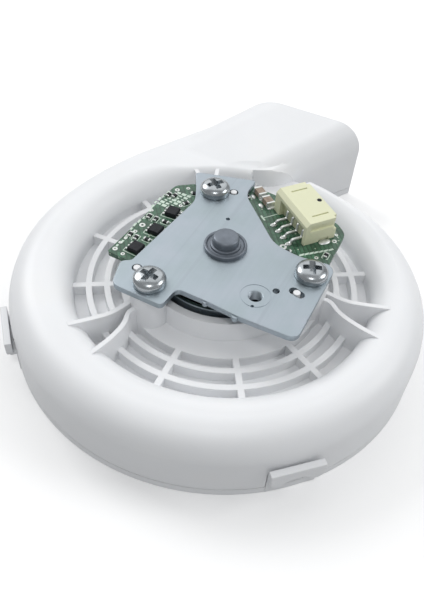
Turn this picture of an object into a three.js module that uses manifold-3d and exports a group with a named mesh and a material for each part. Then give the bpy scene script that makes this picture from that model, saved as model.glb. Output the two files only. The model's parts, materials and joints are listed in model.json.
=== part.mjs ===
// Centrifugal suction blower module of a small cleaning robot.
// Lengths are in millimetres and angles in degrees. +Z is up and the motor axis is parallel to Z.
// The pieces are built with the motor axis at x = y = 0 and the base at z = 0.
// The last lines move the assembly so that the middle of its base is the origin.
import * as THREE from "three";
import { mergeVertices } from "three/addons/utils/BufferGeometryUtils.js";
import Module from "manifold-3d";

const wasm = await Module();
wasm.setup();

// ---------- driving dimensions ----------
const WALL = 1.6; // moulded wall thickness
const COVER_TOP = 1.6; // the lower cover is a plate from 0 to here
const SEAM = 0.1; // gap left between parts that sit on each other

// Volute outline, seen from above. Its radius grows clockwise from the tongue.
const VOLUTE_RADIUS = 41.1;
const VOLUTE_SHORTFALL = 4.3; // how much smaller the radius is at the tongue
const VOLUTE_DECAY = 60;
const TONGUE_ANGLE = 68.7;
const TONGUE_JOIN_ANGLE = 89.3; // where the duct's inner wall meets the ring
const TONGUE_TURN_PER_INSET = 1.6; // degrees that this meeting moves for each mm of inset
const RING_END_ANGLE = -186.3; // where the ring starts to open into the duct
const BACK_WALL_NORMAL_ANGLE = 153.7;
const BACK_WALL_DISTANCE = 42.9;
const OUTLET_Y = 53.2;
const OUTLET_FRONT_X = 10.3;
const RING_TOP = 14.6;
const RING_FILLET = 5.7;
const DUCT_TOP = 18.6;
const DUCT_BACK_FILLET = 11;
const DUCT_FRONT_FILLET = 6.4;
const DUCT_ROOT_Y = 28.5;

// The tongue: a notch, closed underneath, between the duct's inner wall and the end of the ring.
const NOTCH_BOTTOM = 10.5;
const NOTCH_CORNER = { start: [-7.5, 30.2], bend: [-3.1, 31], wallY: 34.6 };
const NOTCH_MOUTH_Y = 36.9;
const NOTCH_NOSE = [[6.2, 38], [5.6, 36.5], [4.2, 33.6], [2.2, 31], [0.3, 28.5]];
const TONGUE_BLOCK = [
  [-9.5, 29.6], [1.8, 28.9], [4, 30.7], [6.3, 34], [5.2, 36.6],
  [0, 38.2], [-2.6, 35.6], [-4.9, 33.5], [-8.2, 31.9],
];
const TONGUE_BLOCK_BOTTOM = 3.5;
const TONGUE_BLOCK_TOP = 13.2;

// Well in the middle of the volute, with its ribbed floor.
const WELL_RADIUS = 29;
const CREST_RADIUS = 34;
const CREST_START_Z = 9.6;
const CREST_FLARE = [[36.5, 14.9], [39.5, 15.6], [44, 17.4]]; // blends the crest into the duct's roof
const STEEP_SHARE = 0.5; // beside the duct the well's wall reaches out only this share as far
const STEEP_START = [84, 92]; // angles between which it steepens, and goes back
const STEEP_END = [128, 146];
const FLOOR_UNDERSIDE = 6.3;
const POCKET_FLOOR = 7.8;
const RIB_TOP = 10;
const PLATE_RADIUS = 19.9;
const RING_RIB_RADII = [22.5, 26];
const RIB_WIDTH = 1.2;
const RADIAL_RIB_START = 33;
const RADIAL_RIB_STEP = 30;

// Motor and its mounting.
const MOTOR_BOSS_RADIUS = 15.8;
const MOTOR_BOSS_BORE = 14.3;
const ARM_ANGLES = [3.3, 123.3, 243.3];
const SCREW_CIRCLE_RADIUS = 16.9;
const POST_RADIUS = 3.5;
const BRACKET_UNDERSIDE = 17.4;
const BRACKET_TOP = 18.6;
const SCREW_HEAD_RADIUS = 3.05;
const SCREW_HEAD_HEIGHT = 2.1;
const SCREW_SHANK_RADIUS = 1.2;
const SCREW_HOLE_RADIUS = 1.35;
const SCREW_HOLE_SPARE = 0.4; // depth left under the screw's end
const SCREW_END = 10.6;
const SHAFT_RADIUS = 1.5;
const SHAFT_BOTTOM = 2.5;
const SHAFT_TOP = 18.4;
const SHAFT_CLEARANCE = 0.06;
const TUBE_RADIUS = 4;
const TUBE_BOTTOM = 9.3;
const BEARING_RADIUS = 3;
const BEARING_WIDTH = 2.5;
const STATOR_BOTTOM = 10.4;
const STATOR_TOP = 13.8;
const STATOR_RADIUS = 11.2;
const SLOT_COUNT = 9;
const ROTOR_RADIUS = 13.4;
const ROTOR_BOTTOM = 6.5;
const ROTOR_TOP = 15.2;
const ROTOR_WALL = 0.8;

// Impeller.
const IMPELLER_RADIUS = 26.6;
const BLADE_COUNT = 11;
const BLADE_BOTTOM = 2.9;
const HUB_PLATE_BOTTOM = 4.9;
const HUB_PLATE_TOP = 5.7;
const EYE_RADIUS = 13;

// Driver board.
const BOARD_BOTTOM = 16.3;
const BOARD_TOP = 17.3;
const CONNECTOR_TOP = 22.5;
const CONNECTOR_WIDTH = 11.9;
const CONNECTOR_DEPTH = 7;
const CONNECTOR_X = 9.9;
const CONNECTOR_Y = 15.5;
const CONNECTOR_TURN = -38.5;
const PIN_COUNT = 4;
const PIN_PITCH = 2;

// Snap hooks of the lower cover: two legs rise in notches of the housing's wall, step out and carry a bar.
const HOOK_ANGLES = [-46.5, -136.5, 58];
const HOOK_WIDTH = 9.6;
const HOOK_THICKNESS = 1.25;
const HOOK_GAP = 0.4; // slit between the wall and the bar
const HOOK_TOP = 7.9;
const BAR_BOTTOM = 5.6;
const LOBE_RADIUS = 1.5; // the bar's rounded ends hang down by this much
const LOBE_SIDE = HOOK_WIDTH / 2 - LOBE_RADIUS;
const LEG_WIDTH = 2.4;
const LEG_DEPTH = 0.9;
const LEG_TOP = 5.4;
const KNEE_BOTTOM = 4.5;

// Clearances and tools.
const TOUCH = 0.02; // gap between pieces that rest on or press into each other
const RUN = 0.05; // gap round a piece on the shaft or in the bearing tube
const SINK = 0.4; // how far ribs, webs and posts reach into the floor under them
const ABOVE = 40; // beyond every piece, for cutting tools

// Facets round a full turn, and degrees between points along the ring.
const COARSE = 16;
const MEDIUM = 24;
const FINE = 36;
const OUTLINE_STEP = 9;
const CORNER_STEPS = 3;

const COLOURS = {
  white: { color: 0xf1f2f2, roughness: 0.45, metalness: 0 },
  cover: { color: 0xe9eaea, roughness: 0.5, metalness: 0 },
  impeller: { color: 0x2b2d30, roughness: 0.55, metalness: 0 },
  zinc: { color: 0xa9b6bd, roughness: 0.35, metalness: 0.9 },
  steel: { color: 0xb9bcc0, roughness: 0.3, metalness: 1 },
  hub: { color: 0x70767c, roughness: 0.5, metalness: 0.6 },
  brass: { color: 0xb9974b, roughness: 0.35, metalness: 1 },
  magnet: { color: 0x3a3a3c, roughness: 0.6, metalness: 0.3 },
  lamination: { color: 0x6c6f73, roughness: 0.5, metalness: 0.8 },
  insulator: { color: 0xd8d3c2, roughness: 0.6, metalness: 0 },
  copper: { color: 0xb5622e, roughness: 0.35, metalness: 0.9 },
  board: { color: 0x2c6b48, roughness: 0.5, metalness: 0 },
  connector: { color: 0xdedcc0, roughness: 0.5, metalness: 0 },
  chip: { color: 0x25272a, roughness: 0.5, metalness: 0 },
  ceramic: { color: 0x8a7a66, roughness: 0.5, metalness: 0 },
  tin: { color: 0xcfd2d4, roughness: 0.3, metalness: 1 },
  rubber: { color: 0x3b3b3b, roughness: 0.9, metalness: 0 },
};

const assembly = new THREE.Group();
const fan = new THREE.Group();
assembly.add(fan);

// ---------- solids ----------
const radians = THREE.MathUtils.degToRad;
const polar = (radius, angle) =>
  new THREE.Vector2(radius * Math.cos(radians(angle)), radius * Math.sin(radians(angle)));

function solidOf(geometry) {
  const bare = geometry.clone();
  bare.deleteAttribute("normal");
  bare.deleteAttribute("uv");
  const merged = mergeVertices(bare, 1e-4);
  return new wasm.Manifold(
    new wasm.Mesh({
      numProp: 3,
      vertProperties: merged.attributes.position.array,
      triVerts: new Uint32Array(merged.index.array),
    }),
  );
}

function geometryOf(solid) {
  const mesh = solid.getMesh();
  const geometry = new THREE.BufferGeometry();
  geometry.setAttribute("position", new THREE.BufferAttribute(mesh.vertProperties, 3));
  geometry.setIndex(new THREE.BufferAttribute(mesh.triVerts, 1));
  geometry.computeVertexNormals();
  return geometry;
}

const join = (solids) => solids.reduce((sum, next) => sum.add(next));
const cut = (solid, tools) => tools.reduce((rest, tool) => rest.subtract(tool), solid);

// profile is a list of [radius, z], anticlockwise, which starts and ends on the axis or closes on itself.
function lathe(profile, segments = FINE) {
  const points = profile.map(([radius, z]) => new THREE.Vector2(radius, z));
  return solidOf(new THREE.LatheGeometry(points, segments).rotateX(Math.PI / 2));
}

const disc = (radius, bottom, top, segments = FINE) =>
  lathe([[0, bottom], [radius, bottom], [radius, top], [0, top]], segments);

const tube = (inner, outer, bottom, top, segments = FINE) =>
  lathe([[inner, bottom], [outer, bottom], [outer, top], [inner, top], [inner, bottom]], segments);

const pin = (x, y, radius, bottom, top, segments = COARSE) =>
  disc(radius, bottom, top, segments).translate([x, y, 0]);

// A bar from (x0, y0) to (x1, y1), seen from above.
function bar([x0, y0], [x1, y1], width, bottom, top) {
  const length = Math.hypot(x1 - x0, y1 - y0);
  const geometry = new THREE.BoxGeometry(length, width, top - bottom);
  geometry.rotateZ(Math.atan2(y1 - y0, x1 - x0));
  geometry.translate((x0 + x1) / 2, (y0 + y1) / 2, (bottom + top) / 2);
  return solidOf(geometry);
}

// A thin wall that follows a list of [x, y] points.
function wallAlong(points, width, bottom, top) {
  const places = points.map(([x, y]) => new THREE.Vector2(x, y));
  const last = places.length - 1;
  const offset = (i, side) => {
    const run = places[Math.min(i + 1, last)].clone().sub(places[Math.max(i - 1, 0)]).normalize();
    return new THREE.Vector2(-run.y, run.x).multiplyScalar((side * width) / 2).add(places[i]);
  };
  const left = places.map((_, i) => offset(i, 1));
  const right = places.map((_, i) => offset(i, -1));
  return plate(new THREE.Shape([...right, ...left.reverse()]), bottom, top);
}

function box(width, depth, bottom, top, x = 0, y = 0, turn = 0) {
  const geometry = new THREE.BoxGeometry(width, depth, top - bottom);
  geometry.translate(0, 0, (bottom + top) / 2);
  geometry.rotateZ(radians(turn));
  geometry.translate(x, y, 0);
  return solidOf(geometry);
}

function plate(shape, bottom, top, curveSegments = 8) {
  const geometry = new THREE.ExtrudeGeometry(shape, {
    depth: top - bottom,
    bevelEnabled: false,
    curveSegments,
  });
  return solidOf(geometry.translate(0, 0, bottom));
}

// An outline given by [x, y, corner radius] points.
function roundedShape(corners) {
  const shape = new THREE.Shape();
  const count = corners.length;
  corners.forEach(([x, y, radius], i) => {
    const here = new THREE.Vector2(x, y);
    const before = new THREE.Vector2(...corners[(i + count - 1) % count]).sub(here);
    const after = new THREE.Vector2(...corners[(i + 1) % count]).sub(here);
    const start = here.clone().addScaledVector(before.normalize(), radius);
    const end = here.clone().addScaledVector(after.normalize(), radius);
    if (i === 0) shape.moveTo(start.x, start.y);
    else shape.lineTo(start.x, start.y);
    shape.quadraticCurveTo(here.x, here.y, end.x, end.y);
  });
  shape.closePath();
  return shape;
}

function add(name, solid, look) {
  const mesh = new THREE.Mesh(geometryOf(solid), new THREE.MeshStandardMaterial(COLOURS[look]));
  mesh.name = name;
  fan.add(mesh);
}

// ---------- volute outline ----------
function voluteRadius(angle, inset) {
  const clockwise = Math.max(0, TONGUE_ANGLE - angle);
  return VOLUTE_RADIUS - inset - VOLUTE_SHORTFALL * Math.exp(-clockwise / VOLUTE_DECAY);
}

const lineAt = (normalAngle, distance, y) => {
  const normal = polar(1, normalAngle);
  return new THREE.Vector2((distance - y * normal.y) / normal.x, y);
};

const crossing = (angleA, distanceA, angleB, distanceB) => {
  const a = polar(1, angleA);
  const b = polar(1, angleB);
  const det = a.x * b.y - a.y * b.x;
  return new THREE.Vector2(
    (distanceA * b.y - distanceB * a.y) / det,
    (a.x * distanceB - b.x * distanceA) / det,
  );
};

// The duct's inner wall runs from the tongue to the front corner of the outlet.
const innerWallFoot = polar(voluteRadius(TONGUE_JOIN_ANGLE, 0), TONGUE_JOIN_ANGLE);
const innerWallRun = new THREE.Vector2(OUTLET_FRONT_X, OUTLET_Y).sub(innerWallFoot).normalize();
const INNER_WALL_NORMAL_ANGLE = THREE.MathUtils.radToDeg(Math.atan2(-innerWallRun.x, innerWallRun.y));
const INNER_WALL_DISTANCE = innerWallFoot.dot(polar(1, INNER_WALL_NORMAL_ANGLE));

// The outline moved inwards by inset, with the outlet's plane at outletY.
function voluteOutline(inset, outletY = OUTLET_Y) {
  const back = BACK_WALL_DISTANCE - inset;
  const ringEnd = voluteRadius(RING_END_ANGLE, inset);
  const innerWall = INNER_WALL_DISTANCE - inset;
  const bend = crossing(RING_END_ANGLE, ringEnd, BACK_WALL_NORMAL_ANGLE, back);
  const reach = bend.distanceTo(polar(ringEnd, RING_END_ANGLE));
  const along = polar(1, BACK_WALL_NORMAL_ANGLE - 90);
  const straight = bend.clone().addScaledVector(along, reach);
  const outletBack = lineAt(BACK_WALL_NORMAL_ANGLE, back, outletY);
  const outletFront = lineAt(INNER_WALL_NORMAL_ANGLE, innerWall, outletY);
  const shape = new THREE.Shape();
  const startAngle = TONGUE_JOIN_ANGLE + inset * TONGUE_TURN_PER_INSET;
  const first = polar(voluteRadius(startAngle, inset), startAngle);
  shape.moveTo(first.x, first.y);
  const lastAngle = RING_END_ANGLE + OUTLINE_STEP / 2;
  for (let angle = startAngle - OUTLINE_STEP; angle > lastAngle; angle -= OUTLINE_STEP) {
    const point = polar(voluteRadius(angle, inset), angle);
    shape.lineTo(point.x, point.y);
  }
  const end = polar(ringEnd, RING_END_ANGLE);
  shape.lineTo(end.x, end.y);
  shape.quadraticCurveTo(bend.x, bend.y, straight.x, straight.y);
  shape.lineTo(outletBack.x, outletBack.y);
  shape.lineTo(outletFront.x, outletFront.y);
  shape.closePath();
  return shape;
}

// A body with the outline's walls, a rounded shoulder and a flat top. Its lower end is below z = 0.
function roundedBody(outline, fillet, top) {
  const geometry = new THREE.ExtrudeGeometry(outline, {
    depth: top - fillet,
    bevelEnabled: true,
    bevelSize: fillet,
    bevelOffset: -fillet,
    bevelThickness: fillet,
    bevelSegments: 3,
    curveSegments: 4,
  });
  return solidOf(geometry);
}

// The rising part of the duct: an arched section at the outlet that narrows towards the ring.
function ductBody(inset, bottom, extra) {
  const back = BACK_WALL_DISTANCE - inset;
  const innerWall = INNER_WALL_DISTANCE - inset;
  const left = lineAt(BACK_WALL_NORMAL_ANGLE, back, OUTLET_Y).x;
  const right = lineAt(INNER_WALL_NORMAL_ANGLE, innerWall, OUTLET_Y).x;
  const top = DUCT_TOP - inset;
  const backFillet = DUCT_BACK_FILLET - inset;
  const frontFillet = DUCT_FRONT_FILLET - inset;
  const section = new THREE.Shape();
  section.moveTo(left, bottom);
  section.lineTo(right, bottom);
  section.lineTo(right, top - frontFillet);
  section.absarc(right - frontFillet, top - frontFillet, frontFillet, 0, Math.PI / 2, false);
  section.lineTo(left + backFillet, top);
  section.absarc(left + backFillet, top - backFillet, backFillet, Math.PI / 2, Math.PI, false);
  section.closePath();
  const length = OUTLET_Y - DUCT_ROOT_Y + extra;
  const geometry = new THREE.ExtrudeGeometry(section, {
    depth: length,
    bevelEnabled: false,
    curveSegments: 5,
  });
  geometry.rotateX(Math.PI / 2);
  geometry.translate(0, OUTLET_Y + extra, 0);
  const position = geometry.attributes.position;
  for (let i = 0; i < position.count; i += 1) {
    const y = position.getY(i);
    const share = (position.getX(i) - left) / (right - left);
    const wallLeft = lineAt(BACK_WALL_NORMAL_ANGLE, back, y).x;
    const wallRight = lineAt(INNER_WALL_NORMAL_ANGLE, innerWall, y).x;
    const rise = (y - DUCT_ROOT_Y) / (OUTLET_Y - DUCT_ROOT_Y);
    const roof = RING_TOP - inset + (DUCT_TOP - RING_TOP) * rise;
    const height = (position.getZ(i) - bottom) / (top - bottom);
    position.setX(i, wallLeft + share * (wallRight - wallLeft));
    position.setZ(i, bottom + height * (roof - bottom));
  }
  return solidOf(geometry);
}

// The rounded step from the well up to the crest of the ring, as a quarter of an ellipse.
function crestArc(startRadius, startZ, crestZ) {
  const steps = 3;
  return Array.from({ length: steps + 1 }, (_, i) => {
    const turn = (i / steps) * (Math.PI / 2);
    return [
      CREST_RADIUS - (CREST_RADIUS - startRadius) * Math.cos(turn),
      startZ + (crestZ - startZ) * Math.sin(turn),
    ];
  });
}

// A lathe solid that is drawn in beside the duct, beyond its foot radius.
function steepened(profile, foot) {
  const points = profile.map(([radius, z]) => new THREE.Vector2(radius, z));
  const geometry = new THREE.LatheGeometry(points, FINE).rotateX(Math.PI / 2);
  const position = geometry.attributes.position;
  for (let i = 0; i < position.count; i += 1) {
    const place = new THREE.Vector2(position.getX(i), position.getY(i));
    const radius = place.length();
    const angle = THREE.MathUtils.radToDeg(Math.atan2(place.y, place.x));
    if (radius <= foot) continue;
    const begun = THREE.MathUtils.smoothstep(angle, ...STEEP_START);
    const ended = THREE.MathUtils.smoothstep(angle, ...STEEP_END);
    const steepness = begun * (1 - ended);
    place.setLength(foot + (radius - foot) * (1 - (1 - STEEP_SHARE) * steepness));
    position.setXY(i, place.x, place.y);
  }
  return solidOf(geometry);
}

// ---------- upper housing ----------
const RIB_FOOT = FLOOR_UNDERSIDE + SINK;

function voluteShell() {
  const outside = roundedBody(voluteOutline(0), RING_FILLET, RING_TOP);
  const duct = ductBody(0, COVER_TOP, 0);
  const insideFillet = RING_FILLET - WALL;
  const insideTop = RING_TOP - WALL;
  const overrun = 4; // how far the air passage's tools run on past the outlet
  const passageOutline = voluteOutline(WALL, OUTLET_Y + overrun + insideFillet);
  const passage = roundedBody(passageOutline, insideFillet, insideTop);
  const ductPassage = ductBody(WALL, -SEAM, overrun);
  const wellProfile = [
    [0, POCKET_FLOOR],
    [WELL_RADIUS, POCKET_FLOOR],
    ...crestArc(WELL_RADIUS, CREST_START_Z, RING_TOP),
    ...CREST_FLARE,
    [CREST_FLARE.at(-1)[0], ABOVE],
    [0, ABOVE],
  ];
  const liningProfile = [
    [0, FLOOR_UNDERSIDE],
    [WELL_RADIUS + WALL, FLOOR_UNDERSIDE],
    ...crestArc(WELL_RADIUS + WALL, CREST_START_Z, insideTop),
    [CREST_RADIUS + WALL, insideTop],
    [CREST_RADIUS + WALL, ABOVE],
    [0, ABOVE],
  ];
  const well = steepened(wellProfile, WELL_RADIUS);
  const wellLining = steepened(liningProfile, WELL_RADIUS + WALL);
  const air = passage.add(ductPassage).subtract(wellLining);
  const wide = 4 * VOLUTE_RADIUS;
  const below = box(wide, wide, -ABOVE, COVER_TOP + SEAM);
  const tongueShape = new THREE.Shape(TONGUE_BLOCK.map((place) => new THREE.Vector2(...place)));
  const tongue = plate(tongueShape, TONGUE_BLOCK_BOTTOM, TONGUE_BLOCK_TOP);
  const shell = cut(outside.add(duct), [well, air, below]);
  return shell.add(tongue.intersect(outside).subtract(well)).subtract(notch());
}

// The notch follows the well's wall, turns up along the duct's inner wall
// and comes back round the ring's end.
function notch() {
  const { start, bend, wallY } = NOTCH_CORNER;
  const wall = (y) => lineAt(INNER_WALL_NORMAL_ANGLE, INNER_WALL_DISTANCE, y);
  const shape = new THREE.Shape();
  shape.moveTo(start[0], NOTCH_NOSE.at(-1)[1]);
  shape.lineTo(...start);
  shape.quadraticCurveTo(...bend, wall(wallY).x, wallY);
  shape.lineTo(wall(NOTCH_MOUTH_Y).x + SEAM, NOTCH_MOUTH_Y);
  for (const place of NOTCH_NOSE) shape.lineTo(...place);
  shape.closePath();
  return plate(shape, NOTCH_BOTTOM, ABOVE, CORNER_STEPS);
}

function ribbedFloor() {
  const rings = RING_RIB_RADII.map((radius) =>
    tube(radius - RIB_WIDTH / 2, radius + RIB_WIDTH / 2, RIB_FOOT, RIB_TOP),
  );
  const radials = [];
  for (let angle = RADIAL_RIB_START; angle < RADIAL_RIB_START + 360; angle += RADIAL_RIB_STEP) {
    const onArm = ARM_ANGLES.some((arm) => Math.abs(((angle - arm + 540) % 360) - 180) < RADIAL_RIB_STEP / 2);
    if (onArm) continue;
    const from = polar(PLATE_RADIUS - 1, angle);
    const to = polar(WELL_RADIUS + WALL / 2, angle);
    radials.push(bar([from.x, from.y], [to.x, to.y], RIB_WIDTH, RIB_FOOT, RIB_TOP));
  }
  const centrePlate = tube(MOTOR_BOSS_BORE, PLATE_RADIUS, FLOOR_UNDERSIDE, RIB_TOP);
  const boss = tube(MOTOR_BOSS_BORE, MOTOR_BOSS_RADIUS, FLOOR_UNDERSIDE, RING_TOP);
  return join([centrePlate, boss, ...rings, ...radials]);
}

// Arm walls as [distance along the arm, distance to its side].
const STRAIGHT_WEB = [[19.5, 1.6], [24, 1], [27.4, 1.6], [32, 2.9]];
const CURVED_WEB = [[19.5, 0.4], [21.6, 0.6], [23.4, 2.1], [25.4, 3.2], [28.4, 4.2], [32.2, 5]];
const WEB_WIDTH = 0.9;
const WEB_TOP = 14.3;

// Each arm has a screw post and two thin walls that spread towards the ring.
const ARM_WEBS = [
  [[STRAIGHT_WEB, 1], [CURVED_WEB, -1]],
  [[STRAIGHT_WEB, 1], [STRAIGHT_WEB, -1]],
  [[CURVED_WEB, 1], [STRAIGHT_WEB, -1]],
];

function arm(index) {
  const walls = ARM_WEBS[index].map(([path, side]) =>
    wallAlong(path.map(([along, across]) => [along, across * side]), WEB_WIDTH, RIB_FOOT, WEB_TOP),
  );
  const post = pin(SCREW_CIRCLE_RADIUS, 0, POST_RADIUS, RIB_FOOT, BRACKET_UNDERSIDE - TOUCH);
  return join([post, ...walls]).rotate([0, 0, ARM_ANGLES[index]]);
}

const screwHole = (angle) => {
  const place = polar(SCREW_CIRCLE_RADIUS, angle);
  return pin(place.x, place.y, SCREW_HOLE_RADIUS, SCREW_END - SCREW_HOLE_SPARE, ABOVE);
};

// Locating pegs that stand up through small slots in the bracket.
const PEGS = [[-5.8, 15.8], [-11.4, -13], [16.3, -4.5]];
const PEG_RADIUS = 0.65;
const PEG_BASE_RADIUS = 1.5;
const PEG_TOP = BRACKET_TOP + 0.1;

const PEG_SHOULDER = BOARD_BOTTOM - 0.3;

const peg = ([x, y]) =>
  pin(x, y, PEG_BASE_RADIUS, RIB_FOOT, PEG_SHOULDER).add(pin(x, y, PEG_RADIUS, RIB_FOOT, PEG_TOP));

// Under each hook's bar the wall has a small wedge that holds it, between notches for the two legs.
const CATCH_WIDTH = 3.2;
const CATCH_BOTTOM = 4.6;
const CATCH_TOP = BAR_BOTTOM - SEAM;
const CATCH_REACH = 0.7;

function latchCatch(angle) {
  const wall = voluteRadius(angle, 0);
  return box(2 * CATCH_REACH, CATCH_WIDTH, CATCH_BOTTOM, CATCH_TOP, wall).rotate([0, 0, angle]);
}

function legNotches(angle) {
  const depth = 2 * LEG_DEPTH;
  const middle = voluteRadius(angle, 0) - LEG_DEPTH - SEAM + depth / 2;
  const notches = [-LOBE_SIDE, LOBE_SIDE].map((side) =>
    box(depth, LEG_WIDTH + 2 * SEAM, 0, LEG_TOP + SEAM, middle, side),
  );
  return join(notches).rotate([0, 0, angle]);
}

function upperHousing() {
  const keepOut = disc(MOTOR_BOSS_BORE, -1, ABOVE);
  const solids = [
    voluteShell(),
    ribbedFloor(),
    ...ARM_ANGLES.map((_, i) => arm(i)),
    ...PEGS.map(peg),
    ...HOOK_ANGLES.map(latchCatch),
  ];
  return cut(join(solids), [keepOut, ...ARM_ANGLES.map(screwHole), ...HOOK_ANGLES.map(legNotches)]);
}

add("upper_housing", upperHousing(), "white");

// ---------- lower cover ----------
const OUTLINE_CURVE = 4; // steps round the outline's one curved corner
const LIP_GAP = 0.2;
const LIP_WIDTH = 1;
const LIP_TOP = 3.2;
const EYE_LIP_RADIUS = 14.6;
const EYE_LIP_TOP = 2.3;
const SEAL_INNER = 16;
const SEAL_OUTER = 19;
const SEAL_DEPTH = 0.9;
const SEAL_SINK = 0.05; // the seal's face lies this far inside its groove

function snapHook(angle) {
  const wall = voluteRadius(angle, 0);
  const inner = wall + HOOK_GAP;
  const bar = box(HOOK_THICKNESS, HOOK_WIDTH, BAR_BOTTOM, HOOK_TOP, inner + HOOK_THICKNESS / 2);
  const parts = [-LOBE_SIDE, LOBE_SIDE].flatMap((side) => {
    const lobe = disc(LOBE_RADIUS, 0, HOOK_THICKNESS, COARSE).rotate([0, 90, 0]);
    const kneeLength = LEG_DEPTH + HOOK_GAP + HOOK_THICKNESS / 2;
    const knee = box(kneeLength, LEG_WIDTH, KNEE_BOTTOM, LEG_TOP, wall - LEG_DEPTH + kneeLength / 2, side);
    const leg = box(LEG_DEPTH - SEAM, LEG_WIDTH, 0, LEG_TOP, wall - (LEG_DEPTH + SEAM) / 2, side);
    return [lobe.translate([inner, side, BAR_BOTTOM + SEAM]), knee, leg];
  });
  return join([bar, ...parts]).rotate([0, 0, angle]);
}

function lowerCover() {
  const base = plate(voluteOutline(0), 0, COVER_TOP, OUTLINE_CURVE);
  const lipInset = WALL + LIP_GAP;
  const lipOutside = plate(voluteOutline(lipInset), COVER_TOP - LIP_GAP, LIP_TOP, OUTLINE_CURVE);
  const lipInside = plate(voluteOutline(lipInset + LIP_WIDTH, OUTLET_Y + LIP_TOP), 0, ABOVE, OUTLINE_CURVE);
  const lip = lipOutside.subtract(lipInside);
  const eyeLip = tube(EYE_RADIUS, EYE_LIP_RADIUS, 0, EYE_LIP_TOP);
  const eye = disc(EYE_RADIUS, -ABOVE, ABOVE);
  const sealGroove = tube(SEAL_INNER - SEAM, SEAL_OUTER + SEAM, -ABOVE, SEAL_DEPTH);
  return cut(join([base, lip, eyeLip, ...HOOK_ANGLES.map(snapHook)]), [eye, sealGroove]);
}

add("lower_cover", lowerCover(), "cover");
add("inlet_seal", tube(SEAL_INNER, SEAL_OUTER, SEAL_SINK, SEAL_DEPTH - SEAL_SINK), "rubber");

// ---------- impeller ----------
const BUSH_RADIUS = 3;
const BUSH_BOTTOM = 3.1;
const HUB_RADIUS = 5;
const HUB_BOTTOM = 2.9;
const SHROUD_INNER = 15.1;
const SHROUD_THICKNESS = 0.7;
const BLADE_INLET = 14.4;
const BLADE_OUTLET = 26;
const BLADE_SWEEP = 46;
const BLADE_CURVE = 0.9; // under 1, the blade leans back most near the inlet
const BLADE_STEPS = 5;
const BLADE_WIDTH = 0.8;
const BLADE_SINK = 0.2; // how far the blade reaches into the hub plate
const SHAFT_FIT = SHAFT_RADIUS + RUN;

function blade(index) {
  const path = Array.from({ length: BLADE_STEPS + 1 }, (_, i) => {
    const share = i / BLADE_STEPS;
    const radius = BLADE_INLET + (BLADE_OUTLET - BLADE_INLET) * share;
    const place = polar(radius, BLADE_SWEEP * share ** BLADE_CURVE);
    return [place.x, place.y];
  });
  const strip = wallAlong(path, BLADE_WIDTH, BLADE_BOTTOM + TOUCH, HUB_PLATE_BOTTOM + BLADE_SINK);
  return strip.rotate([0, 0, (360 / BLADE_COUNT) * index]);
}

function impellerWheel() {
  const hubPlate = tube(BUSH_RADIUS + TOUCH, IMPELLER_RADIUS, HUB_PLATE_BOTTOM, HUB_PLATE_TOP);
  const hub = tube(BUSH_RADIUS + TOUCH, HUB_RADIUS, HUB_BOTTOM, HUB_PLATE_TOP, MEDIUM);
  const blades = Array.from({ length: BLADE_COUNT }, (_, i) => blade(i));
  return join([hubPlate, hub, ...blades]);
}

const impellerShroud = () =>
  tube(SHROUD_INNER, IMPELLER_RADIUS, BLADE_BOTTOM - SHROUD_THICKNESS, BLADE_BOTTOM);
const impellerBush = () =>
  tube(SHAFT_FIT, BUSH_RADIUS - TOUCH, BUSH_BOTTOM, ROTOR_BOTTOM - 2 * RUN, MEDIUM);

add("impeller_wheel", impellerWheel(), "impeller");
add("impeller_shroud", impellerShroud(), "impeller");
add("impeller_bush", impellerBush(), "brass");

// ---------- rotor ----------
const CUP_COLLAR_RADIUS = 2.2;
const CUP_COLLAR_TOP = 9;
const CUP_CORNER = 1;
const CUP_INNER_CORNER = 0.4;
const MAGNET_BOTTOM = 8.9;
const MAGNET_TOP = 14.8;
const MAGNET_INNER = 11.55;
const CUP_INNER = ROTOR_RADIUS - ROTOR_WALL;
const CLIP_RADIUS = 2.1;
const CLIP_BOTTOM = 17.85;
const CLIP_TOP = 18.15;

function rotorCup() {
  const floor = ROTOR_BOTTOM + ROTOR_WALL;
  return lathe([
    [SHAFT_FIT, ROTOR_BOTTOM],
    [ROTOR_RADIUS - CUP_CORNER, ROTOR_BOTTOM],
    [ROTOR_RADIUS, ROTOR_BOTTOM + CUP_CORNER],
    [ROTOR_RADIUS, ROTOR_TOP],
    [CUP_INNER, ROTOR_TOP],
    [CUP_INNER, floor + CUP_INNER_CORNER],
    [CUP_INNER - CUP_INNER_CORNER, floor],
    [CUP_COLLAR_RADIUS + ROTOR_WALL, floor],
    [CUP_COLLAR_RADIUS, floor + ROTOR_WALL],
    [CUP_COLLAR_RADIUS, CUP_COLLAR_TOP],
    [SHAFT_FIT, CUP_COLLAR_TOP],
    [SHAFT_FIT, ROTOR_BOTTOM],
  ]);
}

add("motor_shaft", disc(SHAFT_RADIUS, SHAFT_BOTTOM, SHAFT_TOP, MEDIUM), "steel");
add("rotor_cup", rotorCup(), "zinc");
add("rotor_magnet", tube(MAGNET_INNER, CUP_INNER - RUN, MAGNET_BOTTOM, MAGNET_TOP), "magnet");
add("shaft_clip", tube(SHAFT_FIT, CLIP_RADIUS, CLIP_BOTTOM, CLIP_TOP, COARSE), "steel");

// ---------- bearings ----------
const CAP_SEAT_TOP = 18.8; // underside of the flange's lip
const FLANGE_RADIUS = 4.1;
const FLANGE_TOP = 19.6;
const FLANGE_CHAMFER = 0.4;
const CAP_RADIUS = 2.5;
const CAP_PLUG_RADIUS = 2.1;
const CAP_PLUG_BOTTOM = 19;
const CAP_TOP = 21.3;
const CAP_ROUND = 0.5;
const UPPER_BEARING_BOTTOM = 15.2;
const LOWER_BEARING_BOTTOM = 9.8;
const SPRING_INNER = 1.9;
const SPRING_OUTER = 2.8;
const SPRING_BOTTOM = 14.4;

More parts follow.
